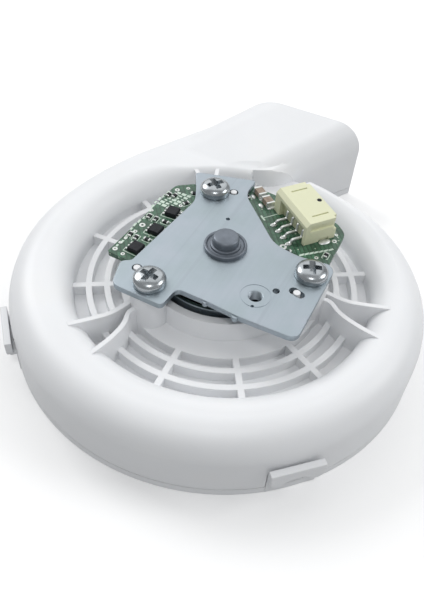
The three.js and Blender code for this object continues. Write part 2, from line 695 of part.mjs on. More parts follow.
function bearingHousing() {
  const bore = BEARING_RADIUS + TOUCH;
  const lipRadius = CAP_RADIUS - 0.3;
  return lathe([
    [bore, TUBE_BOTTOM],
    [TUBE_RADIUS - RUN, TUBE_BOTTOM],
    [TUBE_RADIUS - RUN, BRACKET_TOP + TOUCH],
    [FLANGE_RADIUS, BRACKET_TOP + TOUCH],
    [FLANGE_RADIUS, FLANGE_TOP - FLANGE_CHAMFER],
    [FLANGE_RADIUS - FLANGE_CHAMFER, FLANGE_TOP],
    [lipRadius, FLANGE_TOP],
    [lipRadius, CAP_SEAT_TOP],
    [bore, CAP_SEAT_TOP],
    [bore, TUBE_BOTTOM],
  ], MEDIUM);
}

const hubCap = () =>
  lathe([
    [0, CAP_PLUG_BOTTOM],
    [CAP_PLUG_RADIUS, CAP_PLUG_BOTTOM],
    [CAP_PLUG_RADIUS, FLANGE_TOP + TOUCH],
    [CAP_RADIUS, FLANGE_TOP + TOUCH],
    [CAP_RADIUS, CAP_TOP - CAP_ROUND],
    [CAP_RADIUS - CAP_ROUND / 3, CAP_TOP - CAP_ROUND / 3],
    [CAP_RADIUS - CAP_ROUND, CAP_TOP],
    [0, CAP_TOP],
  ], MEDIUM);

const bearing = (bottom) =>
  tube(SHAFT_RADIUS + SHAFT_CLEARANCE, BEARING_RADIUS - TOUCH, bottom, bottom + BEARING_WIDTH, MEDIUM);

add("bearing_housing", bearingHousing(), "hub");
add("hub_cap", hubCap(), "hub");
add("upper_bearing", bearing(UPPER_BEARING_BOTTOM), "steel");
add("lower_bearing", bearing(LOWER_BEARING_BOTTOM), "steel");
const preloadSpring = () =>
  tube(SPRING_INNER, SPRING_OUTER, SPRING_BOTTOM, UPPER_BEARING_BOTTOM - RUN, COARSE);
add("preload_spring", preloadSpring(), "steel");

// ---------- stator ----------
const TOOTH_TIP_INNER = 10.2;
const TOOTH_SPAN = 5; // each tooth runs from inside the yoke to inside its tip
const TOOTH_MIDDLE = 7.9;
const TOOTH_WIDTH = 1.4;
const TIP_GAP = 1.6;
const YOKE_RADIUS = 5.6;
const INSULATOR_THICKNESS = 0.6;
const COIL_START = 6.5;
const COIL_END = 9.9;
const COIL_BUILD = 0.75;
const COIL_HALF_GAP = 0.12; // half the space left between neighbouring coils
const STATOR_BORE = TUBE_RADIUS + RUN;
const HALF_PITCH = 180 / SLOT_COUNT;

const eachSlot = (solid) =>
  Array.from({ length: SLOT_COUNT }, (_, i) => solid.rotate([0, 0, 2 * HALF_PITCH * i]));

// The middle ring and the teeth, which the core and both insulators share.
function star(bottom, top) {
  const yoke = tube(STATOR_BORE, YOKE_RADIUS, bottom, top, MEDIUM);
  return join([yoke, ...eachSlot(box(TOOTH_SPAN, TOOTH_WIDTH, bottom, top, TOOTH_MIDDLE))]);
}

function statorCore() {
  const rim = tube(TOOTH_TIP_INNER, STATOR_RADIUS, STATOR_BOTTOM, STATOR_TOP);
  const gap = box(STATOR_RADIUS, TIP_GAP, 0, ABOVE, STATOR_RADIUS).rotate([0, 0, HALF_PITCH]);
  return star(STATOR_BOTTOM, STATOR_TOP).add(cut(rim, eachSlot(gap)));
}

// A winding: a closed loop round one tooth and its insulators.
function coil(index) {
  const halfBore = TOOTH_WIDTH / 2 + RUN;
  const halfWidth = halfBore + COIL_BUILD;
  const low = STATOR_BOTTOM - INSULATOR_THICKNESS - RUN;
  const high = STATOR_TOP + INSULATOR_THICKNESS + RUN;
  const length = COIL_END - COIL_START;
  const middle = (COIL_START + COIL_END) / 2;
  const turns = box(length, 2 * halfWidth, low - COIL_BUILD, high + COIL_BUILD, middle);
  const bore = box(2 * length, 2 * halfBore, low, high, middle);
  const side = box(2 * STATOR_RADIUS, STATOR_RADIUS, 0, ABOVE, 0, STATOR_RADIUS / 2 - COIL_HALF_GAP);
  const left = side.rotate([0, 0, HALF_PITCH]);
  const right = side.rotate([0, 0, 180 - HALF_PITCH]);
  return cut(turns, [bore, left, right]).rotate([0, 0, 2 * HALF_PITCH * index]);
}

add("stator_core", statorCore(), "lamination");
add("stator_insulator_upper", star(STATOR_TOP + TOUCH, STATOR_TOP + INSULATOR_THICKNESS), "insulator");
add("stator_insulator_lower", star(STATOR_BOTTOM - INSULATOR_THICKNESS, STATOR_BOTTOM - TOUCH), "insulator");
for (let i = 0; i < SLOT_COUNT; i += 1) add(`coil_${i + 1}`, coil(i), "copper");

// ---------- bracket and screws ----------
const BRACKET_CORNERS = [
  [-13.2, -18.7, 1.6], [-3, -18.9, 1], [-2.7, -14.8, 0.5], [-2, -14.1, 0.4], [3.2, -14.2, 0.4],
  [9.7, -14.7, 0.5], [20.3, -14.5, 2], [20.2, 4.3, 0.9], [18.8, 5.4, 0.6], [12.8, 4.6, 1.5],
  [7.6, 5.6, 2], [4.4, 8.8, 1.6], [-3.4, 16.5, 2.2], [-3.4, 21.8, 0.9], [-15.8, 18, 1.2],
  [-13.5, 13.9, 1.2], [-11.4, 9.5, 1.5], [-13.3, -11.7, 0.5], [-15, -12.8, 1],
];
const TAPPED_HOLE = [10.2, -8.8, 1.35];
const DATUM_HOLE = [12.9, -5.9, 0.65];
const SLOT_ENDS = [[15.2, -4.2], [17.4, -4.8]];
const BRACKET_SCREW_HOLE_RADIUS = 1.7;
const PEG_HOLE_RADIUS = PEG_RADIUS + 0.3;
const SLOT_WIDTH = 1.7;
const BRACKET_THROUGH = [BRACKET_UNDERSIDE - 1, BRACKET_TOP + 1];
const SCREW_PLACES = ARM_ANGLES.map((angle) => polar(SCREW_CIRCLE_RADIUS, angle));

function motorBracket() {
  const blank = plate(roundedShape(BRACKET_CORNERS), BRACKET_UNDERSIDE, BRACKET_TOP, CORNER_STEPS);
  const screwHoles = SCREW_PLACES.map(({ x, y }) => pin(x, y, BRACKET_SCREW_HOLE_RADIUS, ...BRACKET_THROUGH));
  const pegHoles = PEGS.slice(0, 2).map(([x, y]) => pin(x, y, PEG_HOLE_RADIUS, ...BRACKET_THROUGH));
  const roundHoles = [TAPPED_HOLE, DATUM_HOLE].map(([x, y, radius]) => pin(x, y, radius, ...BRACKET_THROUGH));
  const slot = wallAlong(SLOT_ENDS, SLOT_WIDTH, ...BRACKET_THROUGH);
  const hubHole = disc(TUBE_RADIUS, ...BRACKET_THROUGH, MEDIUM);
  return cut(blank, [...screwHoles, ...pegHoles, ...roundHoles, slot, hubHole]);
}

// The head's dome falls away from its middle as [distance in from the edge, height below the top].
const HEAD_DOME = [[0, 1.1], [0.35, 0.5], [1.1, 0.12]];
const SCREW_TIP_LENGTH = 0.8;
const RECESS_LENGTH = 3.4;
const RECESS_WIDTH = 0.75;
const RECESS_DEPTH = 1.3;
const RECESS_TURN = 20; // from the arm to one of the recess's slots

function screw(index) {
  const top = BRACKET_TOP + SCREW_HEAD_HEIGHT;
  const body = lathe([
    [0, SCREW_END],
    [SCREW_SHANK_RADIUS / 2, SCREW_END],
    [SCREW_SHANK_RADIUS, SCREW_END + SCREW_TIP_LENGTH],
    [SCREW_SHANK_RADIUS, BRACKET_TOP + TOUCH],
    [SCREW_HEAD_RADIUS, BRACKET_TOP + TOUCH],
    ...HEAD_DOME.map(([inwards, down]) => [SCREW_HEAD_RADIUS - inwards, top - down]),
    [0, top],
  ], COARSE);
  const recess = [0, 90].map((turn) =>
    box(RECESS_LENGTH, RECESS_WIDTH, top - RECESS_DEPTH, ABOVE, 0, 0, turn),
  );
  const { x, y } = SCREW_PLACES[index];
  return cut(body, recess).rotate([0, 0, ARM_ANGLES[index] + RECESS_TURN]).translate([x, y, 0]);
}

add("motor_bracket", motorBracket(), "zinc");
SCREW_PLACES.forEach((_, i) => add(`screw_${i + 1}`, screw(i), "steel"));

// ---------- driver board ----------
const BOARD_CORNERS = [
  [-19.2, -10.9, 0.6], [-13, -11.1, 1], [-5, -11.4, 1], [7, -10.8, 2], [14, -1.6, 2], [18.5, 6.8, 1],
  [18.4, 16.6, 1.2], [15.9, 18.9, 1], [1.4, 21, 0.5], [-3.7, 21.3, 0.4], [-4, 18.1, 0.4],
  [-14.5, 15.9, 1], [-18, 13.1, 1],
];
const BOARD_THROUGH = [BOARD_BOTTOM - 1, BOARD_TOP + 1];
const BOARD_CLEARANCE = 0.3;

function driverBoard() {
  const blank = plate(roundedShape(BOARD_CORNERS), BOARD_BOTTOM, BOARD_TOP, CORNER_STEPS);
  const posts = SCREW_PLACES.map(({ x, y }) => pin(x, y, POST_RADIUS + BOARD_CLEARANCE, ...BOARD_THROUGH));
  const pegHoles = PEGS.map(([x, y]) => pin(x, y, PEG_HOLE_RADIUS, ...BOARD_THROUGH));
  const tubeHole = disc(TUBE_RADIUS + BOARD_CLEARANCE, ...BOARD_THROUGH, MEDIUM);
  return cut(blank, [...posts, ...pegHoles, tubeHole]);
}

// The connector is drawn with its mouth towards +Y and its contacts spread along X.
const ON_BOARD = BOARD_TOP + TOUCH;
const CONNECTOR_WALL = 0.9;
const CONNECTOR_REAR_WALL = 1.25;
const CONNECTOR_NOTCH = { width: 9, depth: 1, top: CONNECTOR_TOP - 1.6, x: 0.6 };
const GROOVE = { width: 0.5, length: 3.4, depth: 0.4, inwards: 1.9, y: 0.6 };
const PIN_HALF = 0.25;
const PIN_SHIFT = 1.4; // the row of contacts sits towards one end of the connector
const PIN_HEIGHT = ON_BOARD + 2.6; // in the mouth
const PIN_END = 2.4; // how far towards the mouth each contact reaches
const PIN_BEND = -3.05; // where it drops, inside the notch of the rear wall
const TAIL_HEIGHT = ON_BOARD + 0.9;
const TAIL_END = -CONNECTOR_DEPTH / 2 - 2.2; // the tail stands out behind the connector
const PIN_FOOT = { width: 0.7, length: 1.2, height: 0.4 };
const PIN_FIT = 0.1;

const pinX = (index) => PIN_SHIFT + (index - (PIN_COUNT - 1) / 2) * PIN_PITCH;
const onConnector = (solid) => solid.rotate([0, 0, CONNECTOR_TURN]).translate([CONNECTOR_X, CONNECTOR_Y, 0]);

function connectorHousing() {
  const half = CONNECTOR_DEPTH / 2;
  const mouthLength = CONNECTOR_DEPTH - CONNECTOR_REAR_WALL + 1;
  const body = box(CONNECTOR_WIDTH, CONNECTOR_DEPTH, ON_BOARD, CONNECTOR_TOP);
  const mouth = box(
    CONNECTOR_WIDTH - 2 * CONNECTOR_WALL,
    mouthLength,
    ON_BOARD + CONNECTOR_WALL,
    CONNECTOR_TOP - CONNECTOR_WALL,
    0,
    half + 1 - mouthLength / 2,
  );
  const { width, depth, top, x } = CONNECTOR_NOTCH;
  const rearNotch = box(width, 2 * depth, 0, top, x, -half);
  const grooves = [-1, 1].map((side) =>
    box(
      GROOVE.width,
      GROOVE.length,
      CONNECTOR_TOP - GROOVE.depth,
      ABOVE,
      side * (CONNECTOR_WIDTH / 2 - GROOVE.inwards),
      GROOVE.y,
    ),
  );
  const hole = PIN_HALF + PIN_FIT;
  const pinHoles = Array.from({ length: PIN_COUNT }, (_, i) =>
    box(2 * hole, CONNECTOR_DEPTH / 2, PIN_HEIGHT - hole, PIN_HEIGHT + hole, pinX(i), -half),
  );
  return cut(body, [mouth, rearNotch, ...grooves, ...pinHoles]);
}

// Each contact runs back from the mouth, drops inside the notch, runs on over the board and ends in a foot.
function connectorPin(index) {
  const x = pinX(index);
  const run = (from, to, low, high) =>
    box(2 * PIN_HALF, to - from, low - PIN_HALF, high + PIN_HALF, x, (from + to) / 2);
  const footY = TAIL_END + 2 * PIN_HALF - PIN_FOOT.length / 2;
  return join([
    run(PIN_BEND - PIN_HALF, PIN_END, PIN_HEIGHT, PIN_HEIGHT),
    run(PIN_BEND - PIN_HALF, PIN_BEND + PIN_HALF, TAIL_HEIGHT, PIN_HEIGHT),
    run(TAIL_END, PIN_BEND + PIN_HALF, TAIL_HEIGHT, TAIL_HEIGHT),
    run(TAIL_END, TAIL_END + 2 * PIN_HALF, ON_BOARD + PIN_HALF, TAIL_HEIGHT),
    box(PIN_FOOT.width, PIN_FOOT.length, ON_BOARD, ON_BOARD + PIN_FOOT.height, x, footY),
  ]);
}

add("driver_board", driverBoard(), "board");
add("connector_housing", onConnector(connectorHousing()), "connector");
for (let i = 0; i < PIN_COUNT; i += 1) add(`connector_pin_${i + 1}`, onConnector(connectorPin(i)), "tin");

// Small parts as [name, x, y, length, width, height, turn, look].
const BOARD_PARTS = [
  ["mosfet_1", -14, 4.8, 2.9, 3, 1, 4, "chip"],
  ["mosfet_2", -14.2, -1.5, 2.9, 3, 1, 0, "chip"],
  ["mosfet_3", -14.8, -7.8, 2.9, 3, 1, -4, "chip"],
  ["capacitor_1", -1.3, 19.3, 2.6, 1.8, 1.3, -38, "ceramic"],
  ["capacitor_2", 1.3, 17.4, 2.6, 1.8, 1.3, -38, "ceramic"],
];
const UNDER_BOARD_PARTS = [
  ["driver_ic", 8.2, -4.6, 3, 3, 0.7, 45, "chip"],
  ["hall_sensor_1", -5.9, 10.3, 1.6, 1.4, 0.7, 30, "chip"],
  ["hall_sensor_2", -11, 4.5, 1.6, 1.4, 0.7, 70, "chip"],
  ["hall_sensor_3", -11.6, -2.4, 1.6, 1.4, 0.7, 110, "chip"],
];
const UNDER_BOARD = BOARD_BOTTOM - TOUCH;
for (const [name, x, y, length, width, height, turn, look] of BOARD_PARTS)
  add(name, box(length, width, ON_BOARD, ON_BOARD + height, x, y, turn), look);
for (const [name, x, y, length, width, height, turn, look] of UNDER_BOARD_PARTS)
  add(name, box(length, width, UNDER_BOARD - height, UNDER_BOARD, x, y, turn), look);

// ---------- frame ----------
const bounds = new THREE.Box3().setFromObject(fan);
const centre = bounds.getCenter(new THREE.Vector3());
fan.position.set(-centre.x, -centre.y, -bounds.min.z);

export default assembly;
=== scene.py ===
"""Looks for the centrifugal suction blower: fine meshes, materials, light and camera.

Lengths in the constants are millimetres, measured from the motor axis and the base.
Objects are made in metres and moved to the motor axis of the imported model.
"""
import json
from math import atan2, cos, degrees, exp, pi, radians, sin, sqrt

import bmesh
import bpy
from mathutils import Matrix, Vector


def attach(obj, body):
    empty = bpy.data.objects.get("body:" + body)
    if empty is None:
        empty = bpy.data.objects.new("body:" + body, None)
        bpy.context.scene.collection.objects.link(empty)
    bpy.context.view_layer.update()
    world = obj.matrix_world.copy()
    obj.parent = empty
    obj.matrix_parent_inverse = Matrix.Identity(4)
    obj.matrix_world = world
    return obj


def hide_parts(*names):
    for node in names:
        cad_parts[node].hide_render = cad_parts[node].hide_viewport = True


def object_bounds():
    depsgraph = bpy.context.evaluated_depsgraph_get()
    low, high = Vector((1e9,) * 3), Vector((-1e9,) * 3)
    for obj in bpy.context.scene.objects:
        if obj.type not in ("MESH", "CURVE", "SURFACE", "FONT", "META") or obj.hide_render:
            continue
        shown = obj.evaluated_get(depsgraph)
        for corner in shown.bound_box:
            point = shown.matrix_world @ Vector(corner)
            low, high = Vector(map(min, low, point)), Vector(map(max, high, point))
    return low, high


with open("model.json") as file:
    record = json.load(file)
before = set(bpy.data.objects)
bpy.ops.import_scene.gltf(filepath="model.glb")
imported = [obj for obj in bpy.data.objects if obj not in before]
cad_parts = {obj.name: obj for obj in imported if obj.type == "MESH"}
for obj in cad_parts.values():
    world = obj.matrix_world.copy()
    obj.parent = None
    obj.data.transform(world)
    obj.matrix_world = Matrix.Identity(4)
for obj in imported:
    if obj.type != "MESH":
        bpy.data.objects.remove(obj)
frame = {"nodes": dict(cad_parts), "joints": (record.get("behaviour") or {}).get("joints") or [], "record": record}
cad_low, cad_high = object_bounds()

MM = 0.001
AXIS = Vector((*frame["joints"][0]["pos_m"][:2], 0))

# Facets round a full turn, then steps along curves.
FINE = 192
MEDIUM = 96
SMALL = 48
COARSE = 24
RING_STEPS = 180
BACK_FILLET_STEPS = 18
LONG_STEPS = 16
FILLET_STEPS = 14
BEND_STEPS = 12
CORNER_STEPS = 8
PATH_STEPS = 6
EDGE_STEPS = 3
MERGE_DISTANCE = 1e-7
FACE_WEIGHT = 80

# Degrees: edges steeper than these stay sharp in shading, or are rounded by a bevel.
SHARP_ANGLE = 32
BEVELLED_ANGLE = 40

# ---- dimensions that the pieces share ----
# ABOVE is higher than everything. CENTRE and AXIS_GAP stand in for the axis in turned sections.
ABOVE = 40
CENTRE = 0.001
AXIS_GAP = 0.01
TOUCH = 0.02
CLEARANCE = 0.3
WALL = 1.6
COVER_TOP = 1.6
SEAM = 0.1
VOLUTE_RADIUS = 41.1
VOLUTE_SHORTFALL = 4.3
VOLUTE_DECAY = 60
TONGUE_ANGLE = 68.7
TONGUE_JOIN_ANGLE = 89.3
TONGUE_TURN_PER_INSET = 1.6
RING_END_ANGLE = -186.3
BACK_WALL_ANGLE = 153.7
BACK_WALL_DISTANCE = 42.9
OUTLET_Y = 53.2
OUTLET_FRONT_X = 10.3
OVERRUN = 4
RING_TOP = 14.6
RING_FILLET = 5.7
DUCT_TOP = 18.6
DUCT_BACK_FILLET = 11
DUCT_FRONT_FILLET = 6.4
DUCT_ROOT_Y = 28.5
NOTCH_START = (-7.5, 30.2)
NOTCH_BEND = (-3.1, 31)
NOTCH_WALL_Y = 34.6
NOTCH_MOUTH_Y = 36.9
NOTCH_NOSE = ((6.2, 38), (5.6, 36.5), (4.2, 33.6), (2.2, 31), (0.3, 28.5))
TONGUE_BLOCK = (
    (-9.5, 29.6), (1.8, 28.9), (4, 30.7), (6.3, 34), (5.2, 36.6),
    (0, 38.2), (-2.6, 35.6), (-4.9, 33.5), (-8.2, 31.9),
)
TONGUE_BLOCK_BOTTOM = 3.5
TONGUE_BLOCK_TOP = 13.2
WELL_RADIUS = 29
CREST_RADIUS = 34
CREST_START_Z = 9.6
CREST_FLARE = ((36.5, 14.9), (39.5, 15.6), (44, 17.4))
STEEP_SHARE = 0.5
STEEP_START = (84, 92)
STEEP_END = (128, 146)
FLOOR_UNDERSIDE = 6.3
POCKET_FLOOR = 7.8
RIB_TOP = 10
RIB_FOOT = 6.7
RIB_WIDTH = 1.2
PLATE_RADIUS = 19.9
RING_RIB_RADII = (22.5, 26)
RADIAL_RIB_START = 33
RADIAL_RIB_STEP = 30
BOSS_RADIUS = 15.8
BOSS_BORE = 14.3
ARM_ANGLES = (3.3, 123.3, 243.3)
SCREW_CIRCLE = 16.9
POST_RADIUS = 3.5
BRACKET_BOTTOM = 17.4
BRACKET_TOP = 18.6
BOARD_BOTTOM = 16.3
BOARD_TOP = 17.3
PEGS = ((-5.8, 15.8), (-11.4, -13), (16.3, -4.5))
PEG_RADIUS = 0.65
HOOK_ANGLES = (-46.5, -136.5, 58)
HOOK_WIDTH = 9.6
HOOK_DEPTH = 1.25
HOOK_GAP = 0.4
HOOK_TOP = 7.9
BAR_BOTTOM = 5.6
LOBE_RADIUS = 1.5
LOBE_SIDE = HOOK_WIDTH / 2 - LOBE_RADIUS
LOBE_SIDES = (-LOBE_SIDE, LOBE_SIDE)
LEG_WIDTH = 2.4
LEG_DEPTH = 0.9
LEG_TOP = 5.4
KNEE_BOTTOM = 4.5
EYE_RADIUS = 13
IMPELLER_RADIUS = 26.6
BLADE_COUNT = 11
BLADE_BOTTOM = 2.9
HUB_PLATE_BOTTOM = 4.9
HUB_PLATE_TOP = 5.7
SHAFT_FIT = 1.55
HEADER_TOP = 22.5
HEADER_WIDTH = 11.9
HEADER_DEPTH = 7
HEADER_PLACE = (9.9, 15.5)
HEADER_TURN = -38.5
PIN_COUNT = 4
PIN_PITCH = 2
PIN_SHIFT = 1.4
HEADER_DOT = (0.17, 2.63)
PIN_BEND = -3.05
TAIL_END = -HEADER_DEPTH / 2 - 2.2
# How far the notch widens with its height, as (z, at the ring's end, at the duct's corner).
NOTCH_WIDENING = (
    (10.5, 0, 0), (12.6, 0, 0), (13.4, 0.3, 0.1), (14, 0.8, 0.3), (14.4, 1.4, 0.5), (14.62, 2.2, 0.65),
    (15, 2.2, 0.95), (15.5, 2.2, 1.6), (16, 2.2, 2.4), (ABOVE, 2.2, 2.4),
)
NOTCH_STEPS = 24


# ---- mesh tools ----
def in_scene(made):
    bpy.context.scene.collection.objects.link(made)
    return made


def new_object(name, vertices, faces):
    mesh = bpy.data.meshes.new(name)
    mesh.from_pydata([Vector(v) * MM for v in vertices], [], faces)
    mesh.validate()
    body = bmesh.new()
    body.from_mesh(mesh)
    bmesh.ops.remove_doubles(body, verts=body.verts, dist=MERGE_DISTANCE)
    bmesh.ops.recalc_face_normals(body, faces=body.faces)
    body.to_mesh(mesh)
    body.free()
    return in_scene(bpy.data.objects.new(name, mesh))


def loft(loops):
    """A closed body through loops of points, each with the same number of points."""
    count = len(loops[0])
    vertices = [point for loop in loops for point in loop]
    faces = []
    for row in range(len(loops) - 1):
        for i in range(count):
            a = row * count + i
            b = row * count + (i + 1) % count
            faces.append((a, b, b + count, a + count))
    faces.append(tuple(reversed(range(count))))
    faces.append(tuple(range(len(vertices) - count, len(vertices))))
    return new_object("loft", vertices, faces)


def extrude(outline, bottom, top):
    return loft([[(x, y, z) for x, y in outline] for z in (bottom, top)])


def lathe(profile, segments=FINE):
    """A body turned about the motor axis. The profile of (radius, z) closes on itself."""
    vertices = []
    for i in range(segments):
        turn = 2 * pi * i / segments
        vertices += [(r * cos(turn), r * sin(turn), z) for r, z in profile]
    count = len(profile)
    faces = []
    for i in range(segments):
        here = i * count
        after = ((i + 1) % segments) * count
        for k in range(count):
            following = (k + 1) % count
            faces.append((here + k, after + k, after + following, here + following))
    return new_object("lathe", vertices, faces)


def disc(radius, bottom, top, segments=FINE):
    circle = [polar(radius, 360 * i / segments) for i in range(segments)]
    return extrude(circle, bottom, top)


def tube(inner, outer, bottom, top, segments=FINE):
    return lathe([(inner, bottom), (outer, bottom), (outer, top), (inner, top)], segments)


def pin(x, y, radius, bottom, top, segments=SMALL):
    return shifted(disc(radius, bottom, top, segments), x, y)


def rectangle(a, b):
    """Corners of a rectangle that reaches a and b from its centre."""
    return [(-a, -b), (a, -b), (a, b), (-a, b)]


def box(width, depth, bottom, top, x=0, y=0):
    return shifted(extrude(rectangle(width / 2, depth / 2), bottom, top), x, y)


def transformed(made, matrix):
    made.data.transform(matrix)
    return made


def shifted(made, x, y, z=0):
    return transformed(made, Matrix.Translation(Vector((x, y, z)) * MM))


def turned(made, angle, axis="Z"):
    return transformed(made, Matrix.Rotation(radians(angle), 4, axis))


def set_at(made, x, y, turn):
    """Turns a body about its own centre and moves it to its place."""
    return shifted(turned(made, turn), x, y)


def baked(made):
    """The object's mesh with its modifiers applied."""
    graph = bpy.context.evaluated_depsgraph_get()
    result = bpy.data.meshes.new_from_object(made.evaluated_get(graph), depsgraph=graph)
    made.modifiers.clear()
    old = made.data
    made.data = result
    bpy.data.meshes.remove(old)
    return made


def combine(base, others, operation):
    """Joins or cuts closed bodies, then removes the others."""
    for other in others:
        change = base.modifiers.new("combine", "BOOLEAN")
        change.operation = operation
        change.solver = "MANIFOLD"
        change.object = other
    baked(base)
    for other in others:
        bpy.data.meshes.remove(other.data)
    return base


def join(base, *others):
    return combine(base, others, "UNION")


def cut(base, *others):
    return combine(base, others, "DIFFERENCE")


def merged(objects):
    """One object from several separate bodies."""
    body = bmesh.new()
    for made in objects:
        body.from_mesh(made.data)
        bpy.data.meshes.remove(made.data)
    mesh = bpy.data.meshes.new("merged")
    body.to_mesh(mesh)
    body.free()
    return in_scene(bpy.data.objects.new("merged", mesh))


# ---- plane shapes ----
def polar(radius, angle):
    return Vector((radius * cos(radians(angle)), radius * sin(radians(angle))))


def steps(start, end, count):
    return [start + (end - start) * i / count for i in range(count + 1)]


def arc(centre, radius, start, end, count=FILLET_STEPS):
    return [Vector(centre) + polar(radius, turn) for turn in steps(start, end, count)]


def quadratic(start, control, end, count):
    points = []
    for share in steps(0, 1, count):
        points.append(start * (1 - share) ** 2 + control * 2 * share * (1 - share) + end * share**2)
    return points


def rounded_outline(corners):
    """An outline from (x, y, corner radius) points."""
    points = []
    for i, (x, y, radius) in enumerate(corners):
        here = Vector((x, y))
        before = (Vector(corners[i - 1][:2]) - here).normalized()
        after = (Vector(corners[(i + 1) % len(corners)][:2]) - here).normalized()
        points += quadratic(here + before * radius, here, here + after * radius, CORNER_STEPS)
    return points


def inset_outline(outline, distance):
    """The outline moved inwards, for anticlockwise outlines."""
    moved = []
    for i, here in enumerate(outline):
        before = (here - outline[i - 1]).normalized()
        after = (outline[(i + 1) % len(outline)] - here).normalized()
        along = (before + after).normalized()
        moved.append(here + along.orthogonal() * distance)
    return moved


def bevelled_plate(corners, bottom, top, edge):
    """A flat plate with rounded corners whose upper and lower edges are rounded by edge."""
    outline = rounded_outline(corners)
    area = sum(a.x * b.y - b.x * a.y for a, b in zip(outline, outline[1:] + outline[:1]))
    if area < 0:
        outline.reverse()
    loops = []
    for turn in steps(0, 90, EDGE_STEPS):
        inset = edge * (1 - sin(radians(turn)))
        lift = edge * (1 - cos(radians(turn)))
        loops.append([(p.x, p.y, bottom + lift) for p in inset_outline(outline, inset)])
    upper = [[(x, y, top + bottom - z) for x, y, z in loop] for loop in reversed(loops)]
    return loft(loops + upper)


def runs_along(points):
    """Each point of an open path, with the direction in which the path runs there."""
    places = [Vector(p) for p in points]
    before = [places[0], *places[:-1]]
    after = [*places[1:], places[-1]]
    return [(here, (b - a).normalized()) for a, here, b in zip(before, places, after)]


def wall_along(points, width, bottom, top):
    """A thin upright wall that follows the points."""
    left = []
    right = []
    for here, run in runs_along(points):
        side = run.orthogonal() * width / 2
        left.append(here + side)
        right.append(here - side)
    return extrude(right + left[::-1], bottom, top)


# ---- volute ----
def volute_radius(angle, inset=0):
    clockwise = max(0, TONGUE_ANGLE - angle)
    return VOLUTE_RADIUS - inset - VOLUTE_SHORTFALL * exp(-clockwise / VOLUTE_DECAY)


def wall_x(normal_angle, distance, y):
    normal = polar(1, normal_angle)
    return (distance - y * normal.y) / normal.x


def crossing(angle_a, distance_a, angle_b, distance_b):
    a = polar(1, angle_a)
    b = polar(1, angle_b)
    det = a.x * b.y - a.y * b.x
    x = (distance_a * b.y - distance_b * a.y) / det
    y = (a.x * distance_b - b.x * distance_a) / det
    return Vector((x, y))


INNER_WALL_FOOT = polar(volute_radius(TONGUE_JOIN_ANGLE), TONGUE_JOIN_ANGLE)
INNER_WALL_RUN = (Vector((OUTLET_FRONT_X, OUTLET_Y)) - INNER_WALL_FOOT).normalized()
INNER_WALL_ANGLE = degrees(atan2(-INNER_WALL_RUN.x, INNER_WALL_RUN.y))
INNER_WALL_DISTANCE = INNER_WALL_FOOT.dot(polar(1, INNER_WALL_ANGLE))


def duct_sides(y, inset=0):
    """Where the duct's back and inner walls, moved inwards by inset, cross y."""
    back = wall_x(BACK_WALL_ANGLE, BACK_WALL_DISTANCE - inset, y)
    return back, wall_x(INNER_WALL_ANGLE, INNER_WALL_DISTANCE - inset, y)


def volute_outline(inset, outlet_y=OUTLET_Y):
    """The housing's outline seen from above, moved inwards by inset."""
    ring_end = volute_radius(RING_END_ANGLE, inset)
    bend = crossing(RING_END_ANGLE, ring_end, BACK_WALL_ANGLE, BACK_WALL_DISTANCE - inset)
    reach = (bend - polar(ring_end, RING_END_ANGLE)).length
    straight = bend + polar(1, BACK_WALL_ANGLE - 90) * reach
    start = TONGUE_JOIN_ANGLE + inset * TONGUE_TURN_PER_INSET
    ring = [polar(volute_radius(angle, inset), angle) for angle in steps(start, RING_END_ANGLE, RING_STEPS)]
    curve = quadratic(ring[-1], bend, straight, BEND_STEPS)[1:]
    return ring + curve + [Vector((x, outlet_y)) for x in duct_sides(outlet_y, inset)]


def rounded_body(inset, outlet_y, fillet, top, bottom=0):
    """A body with the outline's walls, a rounded shoulder and a flat top."""
    loops = [[(p.x, p.y, bottom) for p in volute_outline(inset, outlet_y)]]
    for turn in steps(0, 90, FILLET_STEPS):
        inwards = fillet * (1 - cos(radians(turn)))
        z = top - fillet + fillet * sin(radians(turn))
        loops.append([(p.x, p.y, z) for p in volute_outline(inset + inwards, outlet_y)])
    return loft(loops)


def duct_body(inset, bottom, extra):
    """The rising part of the duct: an arched section that narrows towards the ring."""
    left, right = duct_sides(OUTLET_Y, inset)
    top = DUCT_TOP - inset
    back_fillet = DUCT_BACK_FILLET - inset
    front_fillet = DUCT_FRONT_FILLET - inset
    section = [Vector((left, bottom)), Vector((right, bottom))]
    section += arc((right - front_fillet, top - front_fillet), front_fillet, 0, 90)
    section += arc((left + back_fillet, top - back_fillet), back_fillet, 90, 180, BACK_FILLET_STEPS)
    loops = []
    for y in steps(DUCT_ROOT_Y, OUTLET_Y + extra, LONG_STEPS):
        wall_left, wall_right = duct_sides(y, inset)
        rise = (y - DUCT_ROOT_Y) / (OUTLET_Y - DUCT_ROOT_Y)
        roof = RING_TOP - inset + (DUCT_TOP - RING_TOP) * rise
        loop = []
        for point in section:
            share = (point.x - left) / (right - left)
            height = (point.y - bottom) / (top - bottom)
            loop.append((wall_left + share * (wall_right - wall_left), y, bottom + height * (roof - bottom)))
        loops.append(loop)
    return loft(loops)


def crest_arc(start_radius, start_z, crest_z):
    """The rounded step from the well up to the crest of the ring."""
    points = []
    for turn in steps(0, pi / 2, LONG_STEPS):
        radius = CREST_RADIUS - (CREST_RADIUS - start_radius) * cos(turn)
        points.append((radius, start_z + (crest_z - start_z) * sin(turn)))
    return points


def smoothstep(value, start, end):
    share = min(1, max(0, (value - start) / (end - start)))
    return share * share * (3 - 2 * share)


